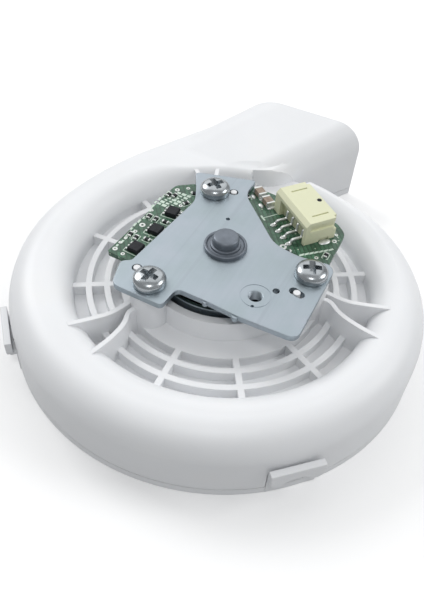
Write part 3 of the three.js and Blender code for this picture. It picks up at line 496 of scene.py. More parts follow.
def steepened(made, foot):
    """Draws a turned body in beside the duct, beyond its foot radius."""
    for vertex in made.data.vertices:
        place = vertex.co.xy / MM
        radius = place.length
        if radius <= foot:
            continue
        angle = degrees(atan2(place.y, place.x))
        steepness = smoothstep(angle, *STEEP_START) * (1 - smoothstep(angle, *STEEP_END))
        drawn = foot + (radius - foot) * (1 - (1 - STEEP_SHARE) * steepness)
        vertex.co.xy = place * (drawn / radius * MM)
    return made


def copy_of(made):
    twin = made.copy()
    twin.data = made.data.copy()
    return in_scene(twin)


def well_body():
    flare = [tuple(place) for place in smooth_path([(CREST_RADIUS, RING_TOP), *CREST_FLARE])[1:]]
    profile = [(AXIS_GAP, POCKET_FLOOR), (WELL_RADIUS, POCKET_FLOOR)]
    profile += crest_arc(WELL_RADIUS, CREST_START_Z, RING_TOP) + flare
    profile += [(CREST_FLARE[-1][0], ABOVE), (AXIS_GAP, ABOVE)]
    return steepened(lathe(profile), WELL_RADIUS)


def well_lining():
    foot = WELL_RADIUS + WALL
    inner_top = RING_TOP - WALL
    profile = [(AXIS_GAP, FLOOR_UNDERSIDE), (foot, FLOOR_UNDERSIDE)]
    profile += crest_arc(foot, CREST_START_Z, inner_top)
    profile += [(CREST_RADIUS + WALL, inner_top), (CREST_RADIUS + WALL, ABOVE), (AXIS_GAP, ABOVE)]
    return steepened(lathe(profile), foot)


def notch():
    """The notch beside the tongue. It widens upwards, rounding the ring's end and the duct's corner."""
    corner_end = Vector((duct_sides(NOTCH_WALL_Y)[1], NOTCH_WALL_Y))
    corner = quadratic(Vector(NOTCH_START), Vector(NOTCH_BEND), corner_end, NOTCH_STEPS)
    mouth = Vector((duct_sides(NOTCH_MOUTH_Y)[1] + SEAM, NOTCH_MOUTH_Y))
    nose = smooth_path(NOTCH_NOSE)
    outline = [Vector((NOTCH_START[0], NOTCH_NOSE[-1][1])), *corner, mouth, *nose]
    bow = [sin(pi * share) for share in steps(0, 1, NOTCH_STEPS)]
    loops = []
    for z, nose_widening, corner_widening in NOTCH_WIDENING:
        widths = [0, *[corner_widening * share for share in bow], 0, *[nose_widening] * len(nose)]
        loops.append([(p.x, p.y, z) for p in widened_outline(outline, widths)])
    return loft(loops)


def widened_outline(outline, widths):
    """The clockwise outline with each point moved outwards by its own width."""
    moved = []
    for i, (here, width) in enumerate(zip(outline, widths)):
        run = (outline[(i + 1) % len(outline)] - outline[i - 1]).normalized()
        moved.append(here + run.orthogonal() * width)
    return moved


def tongue_block(outside, well):
    block = extrude(TONGUE_BLOCK, TONGUE_BLOCK_BOTTOM, TONGUE_BLOCK_TOP)
    return cut(combine(block, [copy_of(outside)], "INTERSECT"), copy_of(well))


def volute_shell():
    inner_top = RING_TOP - WALL
    ring = rounded_body(0, OUTLET_Y, RING_FILLET, RING_TOP)
    well = well_body()
    tongue = tongue_block(ring, well)
    passage = rounded_body(WALL, OUTLET_Y + OVERRUN, RING_FILLET - WALL, inner_top, -1)
    air = cut(join(passage, duct_body(WALL, -SEAM, OVERRUN)), well_lining())
    below = box(4 * VOLUTE_RADIUS, 4 * VOLUTE_RADIUS, -ABOVE, COVER_TOP + SEAM)
    shell = cut(join(ring, duct_body(0, COVER_TOP, 0)), well, air, below)
    return cut(join(shell, tongue), notch())


def ribbed_floor():
    ribs = [tube(r - RIB_WIDTH / 2, r + RIB_WIDTH / 2, RIB_FOOT, RIB_TOP) for r in RING_RIB_RADII]
    inner_end = PLATE_RADIUS - 1
    length = WELL_RADIUS + WALL / 2 - inner_end
    for angle in range(RADIAL_RIB_START, RADIAL_RIB_START + 360, RADIAL_RIB_STEP):
        aside = [abs((angle - arm_angle + 540) % 360 - 180) for arm_angle in ARM_ANGLES]
        if min(aside) < RADIAL_RIB_STEP / 2:
            continue
        rib = box(length, RIB_WIDTH, RIB_FOOT, RIB_TOP, inner_end + length / 2)
        ribs.append(turned(rib, angle))
    plate = tube(BOSS_BORE, PLATE_RADIUS, FLOOR_UNDERSIDE, RIB_TOP)
    boss = tube(BOSS_BORE, BOSS_RADIUS, FLOOR_UNDERSIDE, RING_TOP)
    return [plate, boss, *ribs]


STRAIGHT_WEB = ((19.5, 1.6), (24, 1), (27.4, 1.6), (32, 2.9))
CURVED_WEB = ((19.5, 0.4), (21.6, 0.6), (23.4, 2.1), (25.4, 3.2), (28.4, 4.2), (32.2, 5))
WEB_WIDTH = 0.9
WEB_TOP = 14.3
SCREW_HOLE = (1.35, 10.2, ABOVE)
PEG_SHOULDER_RADIUS = 1.5
CATCH = (1.4, 3.2, 4.6)
ARM_WEBS = (
    ((STRAIGHT_WEB, 1), (CURVED_WEB, -1)),
    ((STRAIGHT_WEB, 1), (STRAIGHT_WEB, -1)),
    ((CURVED_WEB, 1), (STRAIGHT_WEB, -1)),
)


def smooth_path(points):
    """A Catmull-Rom curve through the points."""
    places = [Vector(p) for p in points]
    places = [places[0] * 2 - places[1], *places, places[-1] * 2 - places[-2]]
    path = []
    for a, b, c, d in zip(places, places[1:], places[2:], places[3:]):
        slope = c - a
        bend = a * 2 - b * 5 + c * 4 - d
        twist = b * 3 - a - c * 3 + d
        for share in steps(0, 1, PATH_STEPS)[:-1]:
            path.append((b * 2 + slope * share + bend * share**2 + twist * share**3) / 2)
    return [*path, places[-2]]


def arm(index):
    pieces = [pin(SCREW_CIRCLE, 0, POST_RADIUS, RIB_FOOT, BRACKET_BOTTOM - TOUCH)]
    for path, side in ARM_WEBS[index]:
        points = smooth_path([(along, across * side) for along, across in path])
        pieces.append(wall_along(points, WEB_WIDTH, RIB_FOOT, WEB_TOP))
    return [turned(piece, ARM_ANGLES[index]) for piece in pieces]


def screw_hole(angle):
    return pin(*polar(SCREW_CIRCLE, angle), *SCREW_HOLE)


def peg(x, y):
    shoulder = pin(x, y, PEG_SHOULDER_RADIUS, RIB_FOOT, BOARD_BOTTOM - 3 * SEAM)
    return [shoulder, pin(x, y, PEG_RADIUS, RIB_FOOT, BRACKET_TOP + SEAM)]


def latch_catch(angle):
    return turned(box(*CATCH, BAR_BOTTOM - SEAM, volute_radius(angle)), angle)


def leg_notches(angle):
    middle = volute_radius(angle) - SEAM
    width = LEG_WIDTH + 2 * SEAM
    return [turned(box(2 * LEG_DEPTH, width, 0, LEG_TOP + SEAM, middle, y), angle) for y in LOBE_SIDES]


def upper_housing():
    shell = volute_shell()
    extras = ribbed_floor()
    for index in range(len(ARM_ANGLES)):
        extras += arm(index)
    for place in PEGS:
        extras += peg(*place)
    extras += [latch_catch(angle) for angle in HOOK_ANGLES]
    shell = join(shell, *extras)
    tools = [disc(BOSS_BORE, -1, ABOVE)]
    tools += [screw_hole(angle) for angle in ARM_ANGLES]
    for angle in HOOK_ANGLES:
        tools += leg_notches(angle)
    return cut(shell, *tools)


# ---- lower cover, its hooks and its seal ----
LOBE_TURN = 5
LOBE_INNER_TURN = 30
LOBE_GAP = 1.2
LIP_OUTSIDE = 1.8
LIP_INSIDE = 2.8
LIP_TOP = 3.2
LIP_OVERRUN = 3.2
EYE_HOLE_RADIUS = EYE_RADIUS + 0.4
# The bar's softened edge as (depth, inset). Tubes as (inner, outer, bottom, top).
BAR_EDGE = ((0, 0), (HOOK_DEPTH - 0.25, 0), (HOOK_DEPTH - 0.07, 0.07), (HOOK_DEPTH, 0.25))
SEAL_GROOVE = (15.9, 19.1, -ABOVE, 0.9)
RECESS = (20.5, 30.5, -1, 0.35)
RECESS_RIB = (9, 1, -0.01, 0.5, 25.6)
RECESS_RIB_ANGLES = range(15, 360, 30)
# Turned sections as (radius, z).
EYE_LIP = (
    (EYE_RADIUS, 0.6), (EYE_RADIUS + 0.5, 0), (14.6, 0), (14.6, 2), (14.3, 2.3), (13.3, 2.3), (EYE_RADIUS, 2),
)
SEAL_SECTION = (
    (16, 0.85), (16, 0.35), (16.3, 0.1), (16.9, 0.05), (17.2, 0.3),
    (17.8, 0.3), (18.1, 0.05), (18.7, 0.1), (19, 0.35), (19, 0.85),
)


def hook_bar():
    """The bar with its two rounded lobes, seen from outside and extruded inwards, with a softened edge."""
    near = 180 + LOBE_TURN
    far = 180 + LOBE_INNER_TURN
    outline = [Vector((-HOOK_WIDTH / 2, HOOK_TOP)), Vector((-HOOK_WIDTH / 2, BAR_BOTTOM))]
    outline += arc((-LOBE_SIDE, BAR_BOTTOM + SEAM), LOBE_RADIUS, near, 540 - far)
    outline += [Vector((-LOBE_GAP, BAR_BOTTOM)), Vector((LOBE_GAP, BAR_BOTTOM))]
    outline += arc((LOBE_SIDE, BAR_BOTTOM + SEAM), LOBE_RADIUS, far, 540 - near)
    outline += [Vector((HOOK_WIDTH / 2, BAR_BOTTOM)), Vector((HOOK_WIDTH / 2, HOOK_TOP))]
    return loft([[(depth, p.x, p.y) for p in inset_outline(outline, inset)] for depth, inset in BAR_EDGE])


def snap_hook(angle):
    wall = volute_radius(angle)
    inner = wall + HOOK_GAP
    pieces = []
    for side in LOBE_SIDES:
        reach = LEG_DEPTH + HOOK_GAP + HOOK_DEPTH / 2
        pieces.append(box(reach, LEG_WIDTH, KNEE_BOTTOM, LEG_TOP, wall - LEG_DEPTH + reach / 2, side))
        pieces.append(box(LEG_DEPTH - SEAM, LEG_WIDTH, 0, LEG_TOP, wall - (LEG_DEPTH + SEAM) / 2, side))
    return turned(join(shifted(hook_bar(), inner, 0), *pieces), angle)


def lower_cover():
    base = extrude(volute_outline(0), 0, COVER_TOP)
    lip_outside = extrude(volute_outline(LIP_OUTSIDE), COVER_TOP - 2 * SEAM, LIP_TOP)
    lip_inside = extrude(volute_outline(LIP_INSIDE, OUTLET_Y + LIP_OVERRUN), 0, ABOVE)
    eye = disc(EYE_HOLE_RADIUS, -ABOVE, ABOVE)
    cover = join(cut(base, eye), cut(lip_outside, lip_inside), lathe(EYE_LIP))
    ribs = [turned(box(*RECESS_RIB), angle) for angle in RECESS_RIB_ANGLES]
    cover = cut(cover, tube(*SEAL_GROOVE), cut(tube(*RECESS), *ribs))
    return join(cover, *[snap_hook(angle) for angle in HOOK_ANGLES])


# ---- impeller and rotor ----
BLADE_START = 14.4
BLADE_REACH = 11.6
BLADE_SWEEP = 46
BLADE_CURVE = 0.9
BLADE_WIDTH = 0.8
BLADE_STEPS = 20
# Turned sections as (radius, z).
WHEEL_SECTION = (
    (3.02, 2.9), (4.7, 2.9), (5, 3.2), (5.2, 4.2), (6, 4.8), (7, HUB_PLATE_BOTTOM),
    (IMPELLER_RADIUS, HUB_PLATE_BOTTOM), (IMPELLER_RADIUS, HUB_PLATE_TOP), (3.02, HUB_PLATE_TOP),
)
SHROUD_SECTION = ((15.1, 2.4), (15.3, 2.2), (26.4, 2.2), (26.6, 2.4), (26.6, 2.9), (15.1, 2.9))
BUSH_SECTION = ((SHAFT_FIT, 3.3), (1.75, 3.1), (2.8, 3.1), (2.98, 3.3), (2.98, 6.4), (SHAFT_FIT, 6.4))
SHAFT_SECTION = ((CENTRE, 2.5), (1.2, 2.5), (1.5, 2.8), (1.5, 18.1), (1.2, 18.4), (CENTRE, 18.4))
CUP_SECTION = (
    (SHAFT_FIT, 6.5), (12.4, 6.5), (12.8, 6.6), (13.1, 6.8), (13.3, 7.1), (13.4, 7.5), (13.4, 15.1),
    (13.3, 15.2), (12.7, 15.2), (12.6, 15.1), (12.6, 7.7), (12.2, 7.3), (3, 7.3), (2.2, 8.1), (2.2, 9),
    (SHAFT_FIT, 9),
)
HUB_SECTION = (
    (3.02, 9.3), (3.95, 9.3), (3.95, 18.62), (4.1, 18.62), (4.1, 19.1), (4.02, 19.3), (3.86, 19.38),
    (3.62, 19.34), (3.5, 19.2), (3.42, 19.1), (3.1, 19.06), (2.95, 19.12), (2.9, 19.3), (2.84, 19.52),
    (2.7, 19.6), (2.2, 19.6), (2.2, 18.8), (3.02, 18.8),
)
CAP_SECTION = (
    (CENTRE, 19), (2.1, 19), (2.1, 19.62), (2.5, 19.62), (2.5, 20.75), (2.44, 20.98), (2.28, 21.16),
    (2.05, 21.24), (1.6, 21.28), (0.5, 21.3), (CENTRE, 21.3),
)


def blade(index):
    path = []
    for share in steps(0, 1, BLADE_STEPS):
        path.append(polar(BLADE_START + BLADE_REACH * share, BLADE_SWEEP * share**BLADE_CURVE))
    strip = wall_along(path, BLADE_WIDTH, BLADE_BOTTOM + TOUCH, HUB_PLATE_BOTTOM + 2 * SEAM)
    return turned(strip, 360 / BLADE_COUNT * index)


def impeller_wheel():
    return join(lathe(WHEEL_SECTION), *[blade(i) for i in range(BLADE_COUNT)])


# ---- bracket and screws ----
BRACKET_CORNERS = (
    (-13.2, -18.7, 1.6), (-3, -18.9, 1), (-2.7, -14.8, 0.5), (-2, -14.1, 0.4), (3.2, -14.2, 0.4),
    (9.7, -14.7, 0.5), (20.3, -14.5, 2), (20.2, 4.3, 0.9), (18.8, 5.4, 0.6), (12.8, 4.6, 1.5),
    (7.6, 5.6, 2), (4.4, 8.8, 1.6), (-3.4, 16.5, 2.2), (-3.4, 21.8, 0.9), (-15.8, 18, 1.2),
    (-13.5, 13.9, 1.2), (-11.4, 9.5, 1.5), (-13.3, -11.7, 0.5), (-15, -12.8, 1),
)
BRACKET_EDGE = 0.16
TAPPED_HOLE = (10.2, -8.8)
DATUM_HOLE = (12.9, -5.9, 0.65)
DENTS = ((-3.1, 7.5, 0.42), (10.7, -11.3, 0.3))
EDGE_NIBS = ((3, -14, 0.55), (9, -14.45, 0.7))
COLLAR = (2.1, BRACKET_BOTTOM - 1.1, BRACKET_BOTTOM + 0.3)
SCREW_CLEARANCE = 1.7
HUB_HOLE_RADIUS = 4
RING_MARK = (2.62, 2.82, BRACKET_TOP - 0.06, ABOVE)
SLOT = ((15.2, -4.2), (17.4, -4.8), 0.85)
THREAD_START = 16.2
THREAD_PITCH = 0.4
THREAD_TURNS = 6
SCREW_TURN = 20
SCREW_HEAD_HEIGHT = 2.1
SCREW_SHANK = ((CENTRE, 10.6), (0.6, 10.6), (1.2, 11.4), (1.2, 18.62), (2.95, 18.62), (3.05, 18.72))
# The screw's dome as (radius, drop below its top), and its recess as (drop, length, width) or (drop, radius).
SCREW_DOME = (
    (3.05, 1.15), (2.99, 0.95), (2.84, 0.72), (2.6, 0.5), (2.25, 0.31), (1.8, 0.16), (1.2, 0.06), (CENTRE, 0),
)
RECESS_WINGS = ((1.35, 0.9, 0.42), (0.5, 1.55, 0.5), (-0.4, 2, 0.62))
RECESS_HEART = ((1.4, 0.7), (-0.3, 1.25))
SCREW_PLACES = [polar(SCREW_CIRCLE, angle) for angle in ARM_ANGLES]


def motor_bracket():
    through = (BRACKET_BOTTOM - 1, BRACKET_TOP + 1)
    plate = bevelled_plate(BRACKET_CORNERS, BRACKET_BOTTOM, BRACKET_TOP, BRACKET_EDGE)
    nibs = [pin(x, y, radius, BRACKET_BOTTOM, BRACKET_TOP - 0.25) for x, y, radius in EDGE_NIBS]
    plate = join(plate, pin(*TAPPED_HOLE, *COLLAR), *nibs)
    tools = [pin(p.x, p.y, SCREW_CLEARANCE, *through) for p in SCREW_PLACES]
    tools += [pin(x, y, PEG_RADIUS + CLEARANCE, *through) for x, y in PEGS[:2]]
    tools += [pin(*DATUM_HOLE, *through), disc(HUB_HOLE_RADIUS, *through, MEDIUM)]
    tools += [shifted(tool, *TAPPED_HOLE) for tool in (thread_tool(), tube(*RING_MARK, MEDIUM))]
    tools.append(slot_tool(*SLOT, *through))
    tools += [shifted(dent_tool(radius), x, y, BRACKET_TOP) for x, y, radius in DENTS]
    return cut(plate, *tools)


def thread_tool():
    """A threaded bore's inside, with a chamfered mouth."""
    profile = [(CENTRE, 15), (1.2, 15)]
    for turn in range(THREAD_TURNS):
        z = THREAD_START + turn * THREAD_PITCH
        profile += [(1.18, z), (1.38, z + THREAD_PITCH / 2)]
    profile += [(1.3, BRACKET_TOP - 0.12), (1.6, BRACKET_TOP + 0.06), (1.6, ABOVE), (CENTRE, ABOVE)]
    return lathe(profile, SMALL)


def slot_tool(start, end, radius, bottom, top):
    run = (Vector(end) - Vector(start)).normalized()
    base = degrees(atan2(run.y, run.x))
    outline = arc(Vector(end) - run * radius / 2, radius, base - 90, base + 90, BEND_STEPS)
    outline += arc(Vector(start) + run * radius / 2, radius, base + 90, base + 270, BEND_STEPS)
    return extrude(outline, bottom, top)


def dent_tool(radius):
    profile = [(CENTRE, -radius * 2), (radius * 0.7, -radius * 1.7), (radius, 0), (radius, 1), (CENTRE, 1)]
    return lathe(profile, COARSE)


def screw(index):
    """A domed pan head with a cross recess, on a plain shank."""
    top = BRACKET_TOP + SCREW_HEAD_HEIGHT
    dome = [(radius, top - drop) for radius, drop in SCREW_DOME]
    body = lathe([*SCREW_SHANK, *dome], MEDIUM)
    wings = []
    for turn in (0, 90):
        loops = []
        for drop, length, width in RECESS_WINGS:
            loops.append([(x, y, top - drop) for x, y in rectangle(length, width)])
        wings.append(turned(loft(loops), turn))
    heart = [[(*polar(r, turn), top - drop) for turn in range(0, 360, 90)] for drop, r in RECESS_HEART]
    return set_at(cut(body, *wings, loft(heart)), *SCREW_PLACES[index], ARM_ANGLES[index] + SCREW_TURN)


# ---- driver board ----
BOARD_CORNERS = (
    (-19.2, -10.9, 0.6), (-13, -11.1, 1), (-5, -11.4, 1), (7, -10.8, 2), (14, -1.6, 2), (18.5, 6.8, 1),
    (18.4, 16.6, 1.2), (15.9, 18.9, 1), (1.4, 21, 0.5), (-3.7, 21.3, 0.4), (-4, 18.1, 0.4), (-14.5, 15.9, 1),
    (-18, 13.1, 1),
)
MOSFETS = ((-14, 4.8, 4), (-14.2, -1.5, 0), (-14.8, -7.8, -4))
CAPACITORS = ((-1.3, 19.3, -38), (1.3, 17.4, -38))
ON_BOARD = BOARD_TOP + TOUCH
SUNK = 0.01
PRINT_LINE = 0.17
# Dashes round the connector as (width, depth, x, y).
HEADER_MARKS = (
    (PRINT_LINE, 7.6, -6.5, 0.4), (13, PRINT_LINE, 0, 4.2),
    (PRINT_LINE, 3.2, -4.3, -5.2), (1.6, 0.4, -4.3, -6.9),
)
# Blocks on the board as (width, depth, height of the bottom, height of the top, rounding).
CAPACITOR_BODY = (1.7, 1.7, 0.03, 1.27, 0.06)
SMALL_BODY = (0.75, 0.7, 0, 0.4, 0.04)
SMALL_END = (0.3, 0.74, 0, 0.42, 0.05)
CHIP_LEAD = (0.7, 0.45, 0, 0.3, 0.06)
CHIP_SIZE = (2.45, 2.6)
# The chip's sides as (height, inset).
CHIP_TAPER = ((0, 0.08), (0.45, 0), (0.55, 0), (1, 0.12))
CHIP_DOT = (-0.75, 0.8)
SOLDER_SIDES = 16
PIN_HALF_WIDTH = 0.25
PIN_HALF_HEIGHT = 0.19
PIN_Z = ON_BOARD + 2.6
TAIL_Z = ON_BOARD + 0.9
# The middle of a contact as (y, z), from inside the mouth to the end of its foot.
PIN_ROUTE = (
    (2.4, PIN_Z), (PIN_BEND + 0.3, PIN_Z), (PIN_BEND + 0.08, PIN_Z - 0.08),
    (PIN_BEND, PIN_Z - 0.3), (PIN_BEND, TAIL_Z + 0.3), (PIN_BEND - 0.08, TAIL_Z + 0.08),
    (PIN_BEND - 0.3, TAIL_Z), (TAIL_END + 0.8, TAIL_Z), (TAIL_END + 0.5, TAIL_Z - 0.08),
    (TAIL_END + 0.32, TAIL_Z - 0.3), (TAIL_END + 0.2, ON_BOARD + 0.4), (TAIL_END - 0.05, ON_BOARD + 0.2),
    (TAIL_END - 0.7, ON_BOARD + 0.2),
)


def driver_board():
    through = (BOARD_BOTTOM - 1, BOARD_TOP + 1)
    board = bevelled_plate(BOARD_CORNERS, BOARD_BOTTOM, BOARD_TOP, 0.05)
    tools = [pin(p.x, p.y, POST_RADIUS + CLEARANCE, *through) for p in SCREW_PLACES]
    tools += [pin(x, y, PEG_RADIUS + CLEARANCE, *through) for x, y in PEGS]
    tools.append(disc(4.3, *through, MEDIUM))
    return cut(board, *tools)


def on_connector(made):
    return set_at(made, *HEADER_PLACE, HEADER_TURN)


def pin_x(index):
    return PIN_SHIFT + (index - (PIN_COUNT - 1) / 2) * PIN_PITCH


def soften(made, width, segments=2):
    """Rounds a boxy body's edges."""
    change = made.modifiers.new("edges", "BEVEL")
    change.width = width * MM
    change.segments = segments
    change.limit_method = "ANGLE"
    change.angle_limit = radians(BEVELLED_ANGLE)
    return baked(made)


def connector_housing():
    half = HEADER_DEPTH / 2
    end = HEADER_WIDTH / 2
    body = box(HEADER_WIDTH, HEADER_DEPTH, ON_BOARD, HEADER_TOP)
    mouth = box(HEADER_WIDTH - 1.8, HEADER_DEPTH - 0.25, ON_BOARD + 0.9, HEADER_TOP - 0.9, 0, 1.12)
    rear_notch = box(9.1, 2.1, 0, HEADER_TOP - 1.5, 0.6, -half)
    chamfer = turned(box(20, 1.1, -0.55, 0.55), 45, "X")
    tools = [mouth, rear_notch, shifted(chamfer, 0, -half, HEADER_TOP)]
    recess = (HEADER_TOP - 2.2, HEADER_TOP - 0.85)
    for side in (-1, 1):
        tools.append(box(0.34, 3.6, HEADER_TOP - 0.4, ABOVE, side * (end - 1.9), 0.5))
        tools.append(box(1.1, HEADER_DEPTH - 1.6, *recess, side * end, 0.3))
        tools.append(box(1.6, 1.2, ON_BOARD + 2.4, ABOVE, side * end, half))
        tools.append(box(0.5, 2.2, 0, ON_BOARD + 0.7, side * end, 1))
    tools += [box(0.7, half, ON_BOARD + 2.25, ON_BOARD + 2.95, pin_x(i), -half) for i in range(PIN_COUNT)]
    pit = pin(*HEADER_DOT, 0.5, HEADER_TOP - 0.12, ABOVE)
    return on_connector(cut(soften(cut(body, *tools), 0.16, 3), pit))


def connector_dot():
    """The small dark mark in a pit near the mouth."""
    return on_connector(pin(*HEADER_DOT, 0.46, HEADER_TOP - 0.11, HEADER_TOP - 0.03))


def connector_pin(index):
    """A square contact: down inside the rear notch, out over the board and into its soldered foot."""
    x = pin_x(index)
    corners = ((-1, 0), (1, 0), (1, 1), (-1, 1))
    loops = []
    for here, run in runs_along(PIN_ROUTE):
        up = run.orthogonal() * PIN_HALF_HEIGHT
        ends = (here - up, here + up)
        loops.append([(x + side * PIN_HALF_WIDTH, *ends[end]) for side, end in corners])
    return on_connector(soften(loft(loops), 0.05, 1))


def solder(x, y, length, width, height):
    """A rounded mound of solder on a pad."""
    loops = []
    for share in steps(0, 1, 5):
        size = sqrt(1 - share**2 * 0.96)
        loop = []
        for turn in range(SOLDER_SIDES):
            side = polar(size, 360 / SOLDER_SIDES * turn)
            loop.append((side.x * length / 2, side.y * width / 2, ON_BOARD - SUNK + height * share))
        loops.append(loop)
    return shifted(loft(loops), x, y)


def connector_solder():
    mounds = [solder(pin_x(i), TAIL_END - 0.2, 0.95, 1.6, 0.34) for i in range(PIN_COUNT)]
    mounds += [solder(side * (HEADER_WIDTH / 2 + 0.5), 1, 1.5, 2.6, 0.3) for side in (-1, 1)]
    return on_connector(merged(mounds))


def board_block(width, depth, low, high, rounding, x=0, y=0, segments=1):
    """A softened box on the board."""
    return soften(box(width, depth, ON_BOARD + low, ON_BOARD + high, x, y), rounding, segments)


def at_spots(spots, make):
    """All the bodies that make returns, once for each (x, y, turn)."""
    return [set_at(made, *spot) for spot in spots for made in make()]


def mosfet():
    loops = []
    for z, inset in CHIP_TAPER:
        corners = rectangle(CHIP_SIZE[0] / 2 - inset, CHIP_SIZE[1] / 2 - inset)
        loops.append([(*corner, ON_BOARD + z) for corner in corners])
    dot = pin(*CHIP_DOT, 0.2, ON_BOARD + 0.95, ABOVE, COARSE)
    return cut(soften(loft(loops), 0.05, 1), dot)


def mosfet_leads():
    return [board_block(*CHIP_LEAD, side * 1.5, row * 0.85) for side in (-1, 1) for row in (-1, 0, 1)]


def capacitor_ends():
    ends = [board_block(0.45, 1.8, 0, 1.3, 0.08, side * 1.07, 0, 2) for side in (-1, 1)]
    ends += [solder(side * 1.5, 0, 0.8, 1.9, 0.35) for side in (-1, 1)]
    return [*ends, solder(0, -1.6, 1.5, 1, 0.3)]


# Chip resistors and small capacitors as (x, y, turn).
SMALL_PARTS = (
    (-17.6, 9.6, 80), (-16.4, 9.9, 80), (-17.5, 1.6, 90), (-13.2, 8.9, 60), (-17.9, -4.8, 90),
    (-14.4, -4.5, 0), (-13.9, 1.7, 0), (-16, 1.5, 90), (-16.5, -5.1, 90), (-13.2, 12.6, 20),
    (-11.3, 14.3, 15), (-9.1, 15, 15), (17.2, 8.6, 90), (-3.2, 17.3, -38), (10.4, 5.9, 30),
)


def small_part_ends():
    return [board_block(*SMALL_END, side * 0.52) for side in (-1, 1)]


# Bare tinned pads and vias as (x, y, radius).
PADS = (
    (-18.3, -9.6, 0.5), (-16.3, -10.1, 0.4), (-18.4, -7.6, 0.35), (-18.2, -6, 0.35), (-17.6, -3.5, 0.4),
    (-17.4, -1.2, 0.6), (-18.1, 3.6, 0.35), (-16.9, 12, 0.5), (-15.2, 13.6, 0.4), (-12.6, 15, 0.35),
    (-6.6, 17.2, 0.4), (15.8, 7.2, 0.4), (17.2, 13.4, 0.5), (16.9, 15.4, 0.35), (2.4, 19.8, 0.4),
    (4, 19.9, 0.35), (9.1, 6.9, 0.7), (-13.8, 7.8, 0.4),
)


def pad(x, y, radius):
    profile = [(radius * 0.4, 0), (radius, 0), (radius, 0.03), (radius * 0.45, 0.04)]
    return shifted(lathe(profile, COARSE), x, y, ON_BOARD)


def print_marks():
    """White outlines round the parts and plain dashes beside them, with no lettering."""
    marks = []
    for spot in MOSFETS:
        marks += outline_marks(*spot, 3.8, 3.1)
    for spot in SMALL_PARTS:
        marks += outline_marks(*spot, 1.7, 1.15)
    for i in range(15):
        length = 0.6 + 0.5 * abs(sin(i * 2.3))
        marks.append(mark(0.42, length, -18.45 + 0.3 * sin(i), -8.6 + i * 1.35))
    for row in range(7):
        for column in range(3):
            size = 0.3 + 0.2 * sin(row * 2.1 + column * 1.3)
            marks.append(mark(size + 0.45, size + 0.25, -17.9 + column * 1.15 + row * 0.3, 6.2 + row * 0.85))
    for i in range(7):
        marks.append(set_at(mark(0.42, 1.15, 0, 0), 13.1 + i * 0.72, 6.6 + i * 0.69, HEADER_TURN))
    marks += [on_connector(mark(*sizes)) for sizes in HEADER_MARKS]
    return merged(marks)


def outline_marks(x, y, turn, width, depth):
    """Two long sides and four short corners round a part."""
    marks = []
    for side in (-1, 1):
        marks.append(mark(width, PRINT_LINE, 0, side * depth / 2))
        for end in (-1, 1):
            marks.append(mark(PRINT_LINE, depth / 4, side * width / 2, end * depth * 0.37))
    return [set_at(made, x, y, turn) for made in marks]


def mark(width, depth, x, y):
    return box(width, depth, ON_BOARD - SUNK, ON_BOARD + 0.015, x, y)


# ---- materials ----
class Look:
    """A Principled material with helpers for the textures that feed it."""

    def __init__(self, name, colour, roughness, metallic=0.0):
        self.made = bpy.data.materials.new(name)
        self.made.use_nodes = True
        self.nodes = self.made.node_tree.nodes
        self.shader = self.nodes["Principled BSDF"]
        self.set("Base Color", (*colour, 1))
        self.set("Roughness", roughness)
        self.set("Metallic", metallic)
        self.coordinates = self.nodes.new("ShaderNodeTexCoord").outputs["Object"]

    def set(self, socket, value):
        self.shader.inputs[socket].default_value = value

    def link(self, source, target):
        self.made.node_tree.links.new(source, target)

    def feed(self, value, socket):
        if isinstance(value, bpy.types.NodeSocket):
            self.link(value, socket)
        else:
            socket.default_value = value

    def node(self, kind, **inputs):
        made = self.nodes.new("ShaderNode" + kind)
        for name, value in inputs.items():
            self.feed(value, made.inputs[name.replace("_", " ")])
        return made

    def stretched(self, scale, turn=0):
        rotation = (0, 0, radians(turn))
        return self.node("Mapping", Vector=self.coordinates, Scale=scale, Rotation=rotation).outputs["Vector"]

    def texture(self, kind, vector=None, **inputs):
        return self.node("Tex" + kind, Vector=vector or self.coordinates, **inputs)

    def noise(self, size, detail=3, vector=None):
        """Noise whose blobs are about size millimetres across."""
        return self.texture("Noise", vector, Scale=1 / (size * MM), Detail=detail).outputs["Fac"]

    def ramp(self, source, *stops):
        """stops are (position, grey value or colour)."""
        ramp = self.nodes.new("ShaderNodeValToRGB")
        elements = ramp.color_ramp.elements
        while len(elements) < len(stops):
            elements.new(0.5)
        for element, (position, value) in zip(elements, stops):
            element.position = position
            element.color = (*value, 1) if isinstance(value, tuple) else (value, value, value, 1)
        self.link(source, ramp.inputs["Fac"])
        return ramp.outputs["Color"]

    def mix(self, share, first, second, mode="MIX"):
        """Mixes two colours, each a socket or an (r, g, b, 1)."""
        node = self.nodes.new("ShaderNodeMix")
        node.data_type = "RGBA"
        node.blend_type = mode
        for value, index in ((share, 0), (first, 6), (second, 7)):
            self.feed(value, node.inputs[index])
        return node.outputs[2]

    def colour(self, source):
        self.link(source, self.shader.inputs["Base Color"])

    def roughness(self, source, low, high):
        spread = self.node("MapRange", Value=source, To_Min=low, To_Max=high)
        self.link(spread.outputs["Result"], self.shader.inputs["Roughness"])

    def bump(self, source, height, edge=0):
        """Bumps of height millimetres over edges rounded by edge millimetres."""
        bumps = self.node("Bump", Strength=1, Distance=height * MM, Height=source)
        if edge:
            rounding = self.node("Bevel", Radius=edge * MM)
            rounding.samples = 4
            self.link(rounding.outputs["Normal"], bumps.inputs["Normal"])
        self.link(bumps.outputs["Normal"], self.shader.inputs["Normal"])


